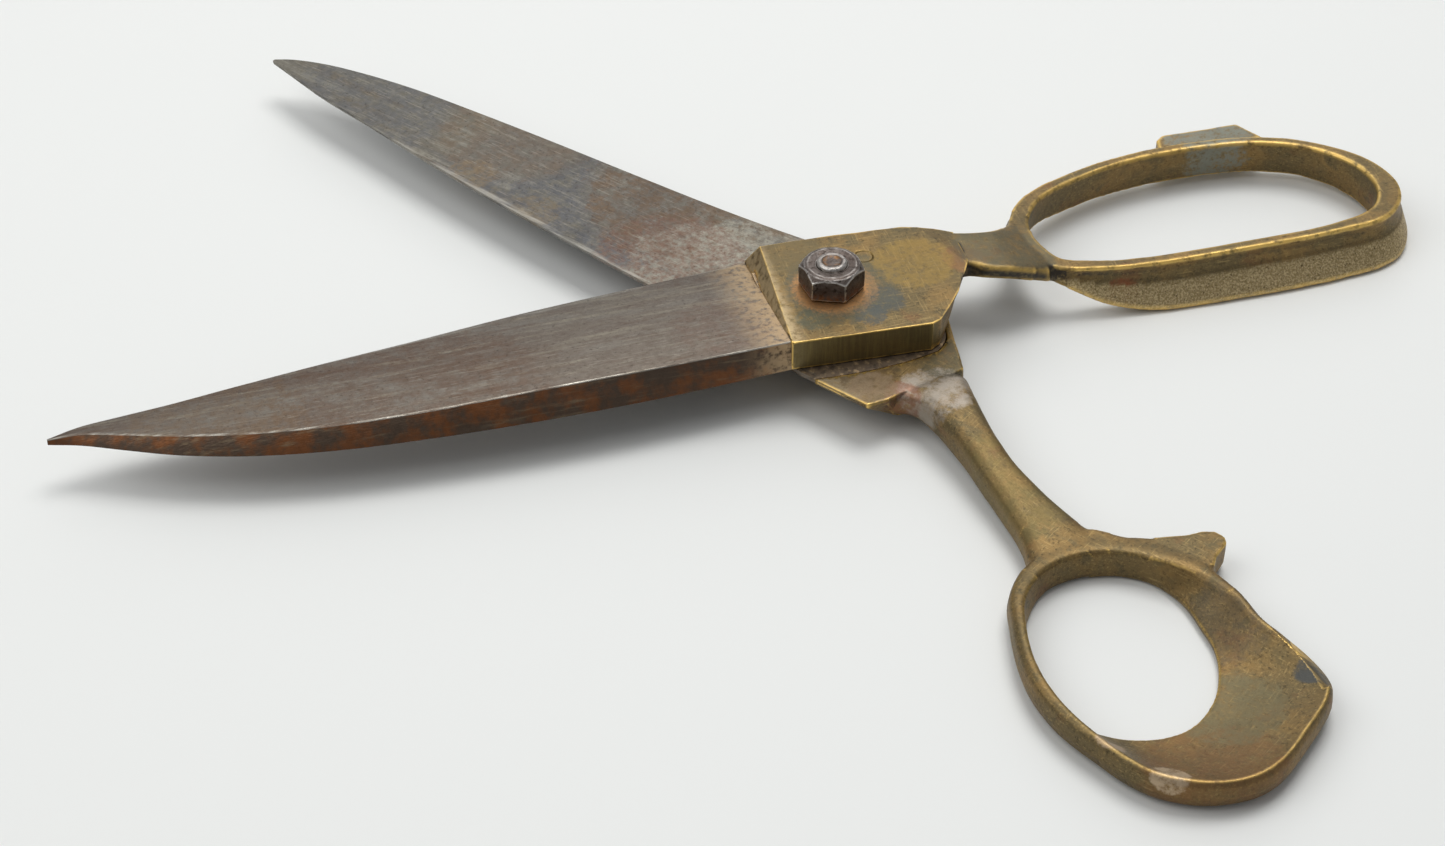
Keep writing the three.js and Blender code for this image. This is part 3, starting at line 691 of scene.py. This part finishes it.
def blade_shape(rows, mate, up):
    """A blade that runs a little way into the brass, as if the brass had been cast on to it."""
    sections = blade_sections(rows, mate, up)
    sections.append([(x + INTO_BRASS, y, z) for x, y, z in sections[-1]])
    shape = loft(sections)
    shape.verts.ensure_lookup_table()
    worn = shape.faces.layers.float.new("worn_edge")
    side = shape.faces.layers.float.new("side")
    ridges = ridge_edges(shape, sections, 2)
    others = [edge for corner in (0, 1, 3) for edge in ridge_edges(shape, sections, corner)]
    corner_of = {shape.verts[i]: i % 4 for i in range(len(shape.verts))}
    for face in shape.faces:
        # The faces from ridge to back get the side mark, which the steel paints darker as shade.
        if {corner_of[v] for v in face.verts} == {2, 3}:
            face[side] = 1.0
        if {corner_of[v] for v in face.verts} == {0, 1}:
            face[worn] = 0.6
    for face in bevel(shape, ridges, RIDGE_WIDTH, 3):
        face[worn], face[side] = 1.0, 0.0
    bevel(shape, [edge for edge in others if edge.is_valid], EDGE_BREAK, 2)
    return shape


# %% [markdown]
# ## The tangs
# Behind the blade the steel runs on as a flat tang under the brass, and ends in a
# round nose. On the lower half its edge shows as a thin grey strip with a dark
# crack round it, so the tang and its slot are real shapes.

# %% Tangs
TANG_THICKNESS = 3.0
TANG_SLACK = 0.35


def curve_between(start, pull, end, steps=12):
    """Points on a quadratic curve, without its last point."""
    start, pull, end = map(Vector, (start, pull, end))
    return [start * (1 - t) ** 2 + pull * 2 * t * (1 - t) + end * t * t
            for t in (i / steps for i in range(steps))]


def tang_outline(near, far, grow):
    nose = (25 + grow, 3)
    points = [Vector((BLADE_ROOT + 0.1 - grow, near - grow))]
    points += curve_between((6, near - grow), (20 + grow, -10), nose)
    points += curve_between(nose, (25 + grow, far + grow), (8, far + grow))
    points += [Vector((8, far + grow)), Vector((BLADE_ROOT + 0.1 - grow, far + grow))]
    return [(p.x, p.y) for p in points]


UPPER_TANG = (-14, 13.5)  # y of its near and far edges
LOWER_TANG = (-24, 13.5)


TANG_TRIM = [(-16, -17), (6.8, -19.7), (30, -20)]  # x, y of the plate's near edge
TRIM_DEPTH = 3
TRIM_LEAN = 4
TRIM_FAR = 20


def tang_trim():
    """What the lower plate's sloped near side leaves of the tang."""
    top, ledge = LOWER_MATE + 1, LOWER_MATE - LAND_HEIGHT
    return loft([[(x, edge, top), (x, edge, ledge), (x, edge + TRIM_LEAN, ledge - TRIM_DEPTH),
                  (x, TRIM_FAR, ledge - TRIM_DEPTH), (x, TRIM_FAR, top)] for x, edge in TANG_TRIM])


upper_blade = piece_from("upper_blade_forging", blade_shape(UPPER_BLADE, UPPER_MATE, 1))
combine(upper_blade, plate_of(tang_outline(*UPPER_TANG, 0), UPPER_MATE, UPPER_MATE + TANG_THICKNESS), "UNION")
drill(upper_blade)
lower_tang = piece_from("lower_tang", plate_of(tang_outline(*LOWER_TANG, 0),
                                               LOWER_MATE - TANG_THICKNESS, LOWER_MATE))
combine(lower_tang, tang_trim(), "INTERSECT")
tang_shape = bmesh.new()
tang_shape.from_mesh(lower_tang.data)
bpy.data.meshes.remove(lower_tang.data)
lower_blade = piece_from("lower_blade_forging", blade_shape(LOWER_BLADE, LOWER_MATE, -1))
combine(lower_blade, tang_shape, "UNION")
drill(lower_blade, square=True)
finish_piece(upper_blade, "upper_half", ["upper_blade"], upper_steel, 24)
finish_piece(lower_blade, "lower_half", ["lower_blade"], lower_steel, 24)

# %% [markdown]
# ## The finger bow handle
# The upper casting: a plate riveted over the tang, a slim neck, and a long bow for
# four fingers whose wall has a smooth hollow facet above and a rough flared facet
# below. A bow could be swept along a curve, but its wall changes thickness, height
# and flare all the way round, so it is a closed loft of measured sections.

# %% Plates and necks
PLATE_LAND = 1.2


def plate_shape(corners, outer, mating):
    """A plate whose outline may spread towards its mating face."""
    land = mating + math.copysign(PLATE_LAND, outer - mating)
    return loft([[(x, y + share * spread, z) for x, y, spread in corners]
                 for z, share in ((outer, 0), (land, 1), (mating, 1))])


def neck_shape(stations, squareness=0.6):
    """A smooth limb of flattened ovals, from near edge to far edge at each station."""
    sections = []
    for near_x, near_y, far_x, far_y, low, high in smooth_rows(stations, 4):
        section = []
        for i in range(20):
            angle = 2 * math.pi * (i + 0.5) / 20
            across = math.copysign(abs(math.cos(angle)) ** squareness, math.cos(angle))
            up = math.copysign(abs(math.sin(angle)) ** squareness, math.sin(angle))
            section.append(((near_x + far_x) / 2 + across * (far_x - near_x) / 2,
                            (near_y + far_y) / 2 + across * (far_y - near_y) / 2,
                            (low + high) / 2 + up * (high - low) / 2))
        sections.append(section)
    return loft(sections)


# x, y at the outer face, and how far along +Y the mating face's corner lies from it.
UPPER_PLATE = [
    [-13.2, -16.3, 0], [16.5, -17.6, 0], [18.6, -16.6, 0.3], [22, -12.6, 1.6], [25.2, -8.4, 3.2],
    [28, -3.6, 3.8], [30.4, 1, 3.8], [31, 12.6, 0.4], [27, 14, 0.8], [20, 15.8, 1.4], [4, 16.8, 2.2],
    [-13.2, 17, 3],
]
# Near edge x and y, far edge x and y, and the lower and upper heights.
UPPER_NECK = [
    [24, -2, 24, 13.2, UPPER_MATE + 0.5, UPPER_BACK - 1.0],
    [30, 1.4, 30, 12.9, UPPER_MATE + 1.4, UPPER_BACK - 0.85],
    [34, -0.8, 34, 12.2, UPPER_MATE + 2.0, UPPER_BACK - 1.05],
    [39, -1.9, 39, 12.2, UPPER_MATE + 1.6, UPPER_BACK - 1.6],
    [44, -2.0, 42.6, 14.6, UPPER_MATE + 0.2, UPPER_BACK - 2.9],
    [48.5, -1.4, 46, 17.8, UPPER_MATE - 1.8, UPPER_BACK - 4.3],
]

# %% [markdown]
# The two plates are filed flat after casting, so their edges are crisp and catch
# the light in a thin line. Remesh would round them, so a plate keeps its flat faces:
# its sharp edges get a narrow bevel, and every large face an inset border that keeps
# the shading of the flat from bleeding into the edge. A grid scored across the flats
# then gives dents and rubbed edges the vertices they need.

# %% Filed plates
def plane_off(shape, corner, second, third):
    """Cuts off what lies above the plane through three points, and closes the cut."""
    corner, second, third = map(Vector, (corner, second, third))
    normal = (second - corner).cross(third - corner).normalized()
    if normal.z < 0:
        normal.negate()
    cut = slice_at(shape, corner * MM, normal, clear_outer=True)
    rim = [part for part in cut["geom_cut"] if isinstance(part, bmesh.types.BMEdge)]
    bmesh.ops.contextual_create(shape, geom=rim)
    bmesh.ops.recalc_face_normals(shape, faces=shape.faces)


def score(shape, step):
    """Cuts a shape's flats into a grid, so dents and rubbed edges have vertices to live on."""
    for axis in range(3):
        low = min(v.co[axis] for v in shape.verts)
        high = max(v.co[axis] for v in shape.verts)
        normal = Vector([float(axis == i) for i in range(3)])
        for i in range(1, int((high - low) / (step * MM)) + 1):
            slice_at(shape, normal * (low + i * step * MM), normal)


FILED_EDGE = 0.3
BORDER = 0.35
SCORE_STEP = 0.93
SHARP = math.radians(22)
LARGE_FACE = 6 * MM * MM


def file_edges(shape):
    """Breaks a plate's sharp edges with a narrow bevel, insets its large faces and scores them."""
    bmesh.ops.remove_doubles(shape, verts=shape.verts, dist=0.01 * MM)
    sharp = [e for e in shape.edges if len(e.link_faces) == 2 and e.calc_face_angle() > SHARP]
    bevel(shape, sharp, FILED_EDGE, 2)
    large = [face for face in shape.faces if face.calc_area() > LARGE_FACE]
    bmesh.ops.inset_individual(shape, faces=large, thickness=BORDER * MM, use_even_offset=True)
    score(shape, SCORE_STEP)
    return shape


# %% The finger bow
# Middle of the wall x and y, its thickness, heights of its rim and foot, its flare.
FINGER_BOW = [
    [50.5, 1.4, 4.0, 12.6, 8.5, 0.4], [60, -0.6, 3.2, 11.6, 3.4, 2.0], [71, -1.3, 3.0, 11.0, 0.6, 3.4],
    [94, -1.4, 3.0, 11.0, 0.3, 4.0], [114, -0.6, 3.2, 11.0, 0.3, 4.0], [126.4, 2.3, 4.8, 11.0, 0.3, 3.4],
    [131.7, 10, 5.4, 10.8, 0.6, 2.2], [130.5, 19.3, 4.4, 11.0, 1.2, 2.0],
    [123, 28.5, 3.0, 11.0, 1.8, 2.6], [112, 34.2, 2.8, 11.0, 2.2, 2.2], [97, 36.4, 2.8, 11.0, 2.2, 2.0],
    [80, 35.6, 2.8, 11.0, 2.2, 2.0], [66, 32, 3.0, 11.2, 2.6, 1.8], [54, 26, 3.6, 11.8, 4.2, 1.2],
    [48, 18, 4.6, 12.6, 6.4, 0.8], [46.6, 9, 5.0, 13.2, 8.6, 0.4],
]
GROOVE = 0.56


def finger_bow_rows():
    rows = smooth_rows(FINGER_BOW, 9, closed=True)
    outward = []
    for i in range(len(rows)):
        run = rows[(i + 1) % len(rows)][:2] - rows[i - 1][:2]
        run /= np.hypot(*run)
        outward.append((run[1], -run[0]))
    return rows, outward


def finger_bow_shape():
    sections = []
    for row, (out_x, out_y) in zip(*finger_bow_rows()):
        x, y, thick, top, foot, flare = row
        half, groove = thick / 2, foot + (top - foot) * GROOVE
        hollow = 0.35 * min(max((130 - x) / 12, 0), 1)
        profile = [(-half + flare / 2, foot), (-half + 0.1, foot + (top - foot) * 0.55), (-half, top - 0.5),
                   (-half + 0.4, top), (half - 0.3, top), (half, top - 0.5),
                   (half - hollow, (top + groove) / 2), (half + 0.45 - hollow, groove + 0.4),
                   (half + 0.85 - hollow, groove - 0.3),
                   (half + flare, foot + 1.3), (half + flare, foot + 0.4), (half + flare - 0.4, foot)]
        sections.append([(x + out * out_x, y + out * out_y, z) for out, z in profile])
    return loft(sections, closed=True)


FOOT_CENTRE, FOOT_HALF, FOOT_ROOT, FOOT_FACE = 102, 12, 37.6, 44.4
FOOT = [
    (FOOT_CENTRE - FOOT_HALF - 1, FOOT_ROOT), (FOOT_CENTRE + FOOT_HALF, FOOT_ROOT),
    (FOOT_CENTRE + FOOT_HALF - 4, FOOT_FACE), (FOOT_CENTRE - FOOT_HALF + 2, FOOT_FACE),
    (FOOT_CENTRE - FOOT_HALF, FOOT_FACE - 1.5),
]

# %% Cast and mark the finger bow handle
upper_plate = plate_shape(UPPER_PLATE, UPPER_BACK, UPPER_MATE)
# The front bevel, down to the blade's thin edge, and the shoulder down to the neck.
plane_off(upper_plate, (-13.2, -17, UPPER_BACK), (-10.4, 21, UPPER_BACK), (-13.3, 21, 11.5))
plane_off(upper_plate, (24.1, 13.6, UPPER_BACK), (29.1, 1.9, UPPER_BACK), (34.5, 5, UPPER_BACK - 1.3))
CASTING_GRAIN = 0.38  # the remeshed skin's grid, in millimetres
finger_bow = piece_from("finger_bow_casting", neck_shape(UPPER_NECK, 0.35), finger_bow_shape(),
                        plate_of(FOOT, 2.6, 9))
soften(finger_bow, CASTING_GRAIN)
for corner in ((49, -2, 11), (46, 17, 12)):
    blend_at(finger_bow, corner, 5, 12)
combine(finger_bow, file_edges(upper_plate), "UNION")
dent(finger_bow, 5, 0.10)
combine(finger_bow, plate_of(tang_outline(*UPPER_TANG, TANG_SLACK),
                             0, UPPER_MATE + TANG_THICKNESS + TANG_SLACK))
drill(finger_bow)
mark_edges(finger_bow, 1, 1.7)


def mark_finger_bow(piece):
    """as_cast on the flared lower facet, filed on the plate's upright near side, and painted shade on and
    under the neck, added to hollow.
    """
    places = vertex_places(piece) / MM
    rows, outward = finger_bow_rows()
    rows, outward = np.array(rows), np.array(outward)
    nearest = ((places[:, None, :2] - rows[None, ::3, :2]) ** 2).sum(2).argmin(1) * 3
    row, out = rows[nearest], outward[nearest]
    offset = ((places[:, :2] - row[:, :2]) * out).sum(1)
    groove = row[:, 4] + (row[:, 3] - row[:, 4]) * GROOVE
    below = np.clip((groove - places[:, 2]) / 0.8, 0, 1)
    cast = below * (offset > 0) * (places[:, 0] > 48)
    # Painted shade: the neck's faces turned towards the camera, on its near side and under it, are darkened
    # through the hollow mask.
    under_neck = (places[:, 0] > 27) * (places[:, 0] < 52) * (places[:, 1] < 4) * (places[:, 2] < 16.4)
    add_attribute(piece, "as_cast", cast)
    normals = np.array([n.vector for n in piece.data.vertex_normals])
    painted_neck_shade = under_neck * np.clip(-normals[:, 1] * 1.6, 0, 0.9)
    change_attribute(piece, "hollow", np.maximum(read_attribute(piece, "hollow"), painted_neck_shade))
    add_attribute(piece, "filed", (places[:, 0] < 18) * (normals[:, 1] < -0.8) * 1.0)
    # The rivet is filed flush, so the rim of its hole is dull.
    rubbed = read_attribute(piece, "worn_edge")
    at_rivet = np.hypot(*(places[:, :2] - RIVET_PLACE).T) < RIVET_RADIUS + 1
    change_attribute(piece, "worn_edge", np.where(at_rivet, 0.15 * rubbed, rubbed))


mark_finger_bow(finger_bow)
finish_piece(finger_bow, "upper_half", ["finger_bow_handle"], upper_brass)

# %% [markdown]
# ## The thumb bow handle
# The lower casting: a plate with a sloped near side, a humped neck that curves down
# to the bench, a small oval for the thumb with a broad dished rest, and a spur that
# stops the handles as they close. The dish is the same closed loft, described by
# the radii of hole, rim and outside round the bow's centre.

# %% Thumb bow sections
LOWER_PLATE = [
    [-13.2, -10.2, -7], [6.8, -12.8, -7], [23.4, -13.1, -7], [25.8, -12.6, -3.4], [26.8, -11.4, -1],
    [28.9, -7.4, 0], [32.6, 1.4, 0], [26.6, 7.3, 0], [20.4, 13.8, 0], [12, 17.2, 0], [-13.2, 18.6, 0],
]
LOWER_NECK = [
    [25, -15, 29, -1, LOWER_BACK + 0.6, LOWER_MATE - 0.4],
    [29, -12.6, 33.4, 0.4, LOWER_BACK, LOWER_MATE + 0.6],
    [34.6, -13.6, 38.6, -3.6, LOWER_BACK - 0.6, LOWER_MATE + 1.0],
    [43.4, -17.4, 46.8, -9.8, LOWER_BACK - 1.1, LOWER_MATE + 0.4],
    [52, -22.2, 55.2, -14.8, LOWER_BACK - 1.6, LOWER_MATE - 0.6],
    [60, -26.8, 64, -18.2, LOWER_BACK - 2.2, LOWER_MATE - 1.5],
    [67.4, -31.6, 73.2, -20.6, 0.7, LOWER_MATE - 2.2], [73, -37.4, 80, -22, 0.8, 7.2],
]
THUMB_CENTRE = (98, -45)
# Radii of the hole, the dish's rim and the outside, every 22.5 degrees from +X.
THUMB_BOW = [
    [20, 38.2, 40.1], [18.8, 37.4, 39.3], [18.4, 26.8, 29.2], [18.8, 25.0, 27.8],
    [21.4, 24.0, 28.4], [23.6, 23.4, 28.6], [23.6, 23.8, 28.4], [22.6, 22.8, 27.4],
    [19.8, 20.6, 24.4], [17.6, 17.8, 20.8], [16.8, 17.0, 19.8], [17.4, 17.8, 20.8],
    [19.2, 20.4, 23.4], [20.4, 25.6, 28.2], [21.2, 34.6, 36.9], [21.4, 39.6, 41.6],
]
THUMB_RIM = 7.4
SPUR = [
    (80, -24.5), (77, -21.6), (84, -19.4), (89, -16.4), (93.2, -12.4), (95, -9.6), (97, -8.2),
    (99.4, -8.4), (100.6, -9.8), (101, -14.2), (102.4, -18.2), (105, -20.4), (98, -19), (88, -21),
]


def smooth_ring(rows, samples):
    """A smooth closed run through radii given at even angles."""
    rows = np.array(rows, float)
    ring = []
    for sample in range(samples):
        i, t = divmod(sample * len(rows) / samples, 1)
        a, b, c, d = (rows[(int(i) + step) % len(rows)] for step in (-1, 0, 1, 2))
        ring.append(0.5 * (2 * b + (c - a) * t + (2 * a - 5 * b + 4 * c - d) * t**2
                           + (3 * b - a - 3 * c + d) * t**3))
    return ring


AROUND = 144  # sections round the thumb bow


def thumb_bow_shape():
    sections = []
    for i, (hole, rim, outside) in enumerate(smooth_ring(THUMB_BOW, AROUND)):
        angle = 2 * math.pi * i / AROUND
        dish = max(rim - hole, 0.1)
        profile = [(hole + 0.5, 0.3), (hole, 0.9), (hole, 2.0)]
        profile += [(hole + share * dish, 2.0 + 5.0 * (0.45 * share + 0.55 * share ** 1.8))
                    for share in (0.15, 0.3, 0.45, 0.6, 0.75, 0.9)]
        profile += [(rim, THUMB_RIM - 0.3), ((rim * 2 + outside) / 3, THUMB_RIM),
                    (outside - 0.9, THUMB_RIM - 0.3), (outside - 0.3, THUMB_RIM - 1.2),
                    (outside, THUMB_RIM / 2), (outside - 0.5, 1.8), (outside - 1.4, 0.8),
                    (outside - 2.4, 0.3)]
        sections.append([(THUMB_CENTRE[0] + radius * math.cos(angle),
                          THUMB_CENTRE[1] + radius * math.sin(angle), z) for radius, z in profile])
    return loft(sections, closed=True)


FLAT_START, FLAT_END, FLAT_LOW = (121.3, -27.1, 7.3), (134, -34.8, 7.3), (132.6, -28.3, 4.5)


def filed_flat():
    """A cutter for the flat filed on the dish's upper corner, through three points."""
    start, end, low = map(Vector, (FLAT_START, FLAT_END, FLAT_LOW))
    along = (end - start).normalized()
    up = along.cross(low - start).normalized()
    up = -up if up.z < 0 else up
    out = along.cross(up)
    out = -out if out.dot(low - start) < 0 else out
    return loft([[start + along * reach + out * side + up * lift
                  for side, lift in ((-2, 0), (14, 0), (14, 6), (-2, 6))]
                 for reach in (-8, (end - start).length)])


# %% Cast and mark the thumb bow handle
thumb_bow = piece_from("thumb_bow_casting", neck_shape(LOWER_NECK), thumb_bow_shape(),
                       plate_of(SPUR, 1.4, THUMB_RIM - 0.4))
soften(thumb_bow, CASTING_GRAIN)
for corner, reach in (((76, -31, 7), 9), ((80, -22, 7), 6), ((104, -20, 7), 4), ((86, -21, 7), 5)):
    blend_at(thumb_bow, corner, reach, 14)
combine(thumb_bow, filed_flat())
combine(thumb_bow, file_edges(plate_shape(LOWER_PLATE, LOWER_BACK, LOWER_MATE)), "UNION")
for corner in ((28.5, -9.5, 10), (31.5, -2, 10)):
    blend_at(thumb_bow, corner, 5.5, 14)
dent(thumb_bow, 6, 0.10)
combine(thumb_bow, plate_of(tang_outline(*LOWER_TANG, TANG_SLACK),
                            LOWER_MATE - TANG_THICKNESS - TANG_SLACK, THROUGH[1]))
drill(thumb_bow, pivot=False, square=True)
mark_edges(thumb_bow, 0)
leave_unmarked(thumb_bow, "as_cast", "filed")
finish_piece(thumb_bow, "lower_half", ["thumb_bow_handle"], lower_brass)

# %% [markdown]
# ## Bolt, nut and rivets
# The bolt is turned: a profile spun round the axis, with a square neck under its
# head. The nut is a six-sided bar cut by a cone, which leaves the curved chamfer
# lines of every real nut. Its skin is remeshed fine and dented, because this one
# has been gripped with pliers for years.

# %% Worn bolt steel
def bolt_steel(name):
    material, tree = new_material(name)
    place = put(tree, "ShaderNodeTexCoord").outputs["Object"]
    worn, hollow = attribute(tree, "worn_edge"), attribute(tree, "hollow")
    height = put(tree, "ShaderNodeSeparateXYZ", {0: place}).outputs["Z"]
    colour = skins(tree, place, linear("#574c46"),
                   [("#6b625c", 2.5, 0.4, 0.62, 5), ("#2a1c12", 1.0, 0.5, 0.66, 5, 0.8)])
    low_down = ramp(tree, height, (NUT_BASE + 2.6) * MM, NUT_BASE * MM)
    foot = both(tree, low_down, patches(tree, place, 1.0, 0.4, 0.56))
    colour = layer(tree, colour, "#7a4d28", foot)
    colour = layer(tree, colour, "#8a6238", both(tree, hollow, patches(tree, place, 0.8, 0.42, 0.55)))
    bare = both(tree, worn, patches(tree, place, 1.1, 0.3, 0.52))
    colour = layer(tree, colour, "#e2ddd6", bare)
    roughness = layer(tree, layer(tree, 0.42, 0.7, foot), 0.25, bare)
    metallic = layer(tree, layer(tree, 0.75, 0.2, foot), 1.0, bare)
    finish_shader(tree, colour, roughness, metallic, cloud(tree, place, 0.45, 4.0), 0.15)
    return material


old_bolt_steel = bolt_steel("forged_bolt_steel_rusted")
SHANK = 3.175


def spun(profile, steps=64):
    """A profile of radius and height turned once round the pivot axis."""
    shape = bmesh.new()
    points = [shape.verts.new((radius * MM, 0, height * MM)) for radius, height in profile]
    line = [shape.edges.new(pair) for pair in zip(points, points[1:])]
    bmesh.ops.spin(shape, geom=points + line, cent=(0, 0, 0), axis=(0, 0, 1), angle=2 * math.pi, steps=steps,
                   use_merge=True)
    bmesh.ops.remove_doubles(shape, verts=shape.verts, dist=0.001 * MM)
    bmesh.ops.recalc_face_normals(shape, faces=shape.faces)
    return shape


bolt_profile = [
    (0, 0), (7.2, 0), (7.8, 0.3), (8, 0.8), (8, 2.6), (7.6, 3), (SHANK, 3), (SHANK, NUT_TOP + 0.1),
    (3.0, NUT_TOP + 0.4), (2.7, BOLT_END), (2.2, BOLT_END), (1.9, NUT_TOP + 0.35),
    (1.2, NUT_TOP + 0.25), (0.8, NUT_TOP + 0.35), (0, NUT_TOP + 0.4),
]
pivot_bolt = piece_from("pivot_bolt_turning", spun(bolt_profile))
combine(pivot_bolt, square_bar(8, 1.5, 8), "UNION")
soften(pivot_bolt, 0.2)
dent(pivot_bolt, 1.2, 0.05)
mark_edges(pivot_bolt, 1, 2.2)
finish_piece(pivot_bolt, "lower_half", ["pivot_bolt"], old_bolt_steel)

# %% The nut
NUT_RADIUS = 7.0
nut_shape = round_bar(NUT_RADIUS, NUT_BASE, NUT_TOP, sides=6)
corner_angle = math.atan2(*next(v.co for v in nut_shape.verts).yx)
bmesh.ops.rotate(nut_shape, verts=nut_shape.verts,
                 matrix=Matrix.Rotation(math.radians(30) - corner_angle, 3, "Z"))
pivot_nut = piece_from("pivot_nut_forging", nut_shape)
chamfer = spun([(0, NUT_BASE - 1), (NUT_RADIUS + 3, NUT_BASE - 1), (NUT_RADIUS + 2.4, NUT_TOP - 3.6),
                (NUT_RADIUS - 0.5, NUT_TOP - 0.9), (NUT_RADIUS - 1.2, NUT_TOP - 0.25),
                (NUT_RADIUS - 1.9, NUT_TOP), (SHANK + 0.9, NUT_TOP - 0.15),
                (SHANK, NUT_TOP - 0.3), (0, NUT_TOP - 0.3)])
combine(pivot_nut, chamfer, "INTERSECT")
combine(pivot_nut, round_bar(SHANK, *THROUGH))
soften(pivot_nut, 0.17)
dent(pivot_nut, 2.0, 0.12)
mark_edges(pivot_nut, 1, 2.4)
finish_piece(pivot_nut, "lower_half", ["pivot_nut"], old_bolt_steel)

# %% [markdown]
# ## Tang rivets
# Each tang is held by one brass rivet, hammered flush and filed over, so all that
# shows is a faint ring with a slightly domed middle.

# %% Tang rivets
def tang_rivet(name, low, high, body, node, material):
    shape = spun([(0, low), (1.75, low), (1.9, low + 0.15), (1.9, high - 0.15), (1.75, high),
                  (1.0, high + 0.04), (0, high + 0.05)], 48)
    bmesh.ops.translate(shape, verts=shape.verts, vec=Vector((*RIVET_PLACE, 0)) * MM)
    piece = piece_from(name, shape)
    mark_edges(piece, 0, 0.3)
    leave_unmarked(piece, "as_cast", "filed")
    finish_piece(piece, body, [node], material, 30)


tang_rivet("upper_rivet_head", UPPER_MATE, UPPER_BACK, "upper_half", "upper_tang_rivet", upper_brass)
tang_rivet("lower_rivet_head", LOWER_BACK, LOWER_MATE, "lower_half", "lower_tang_rivet", lower_brass)
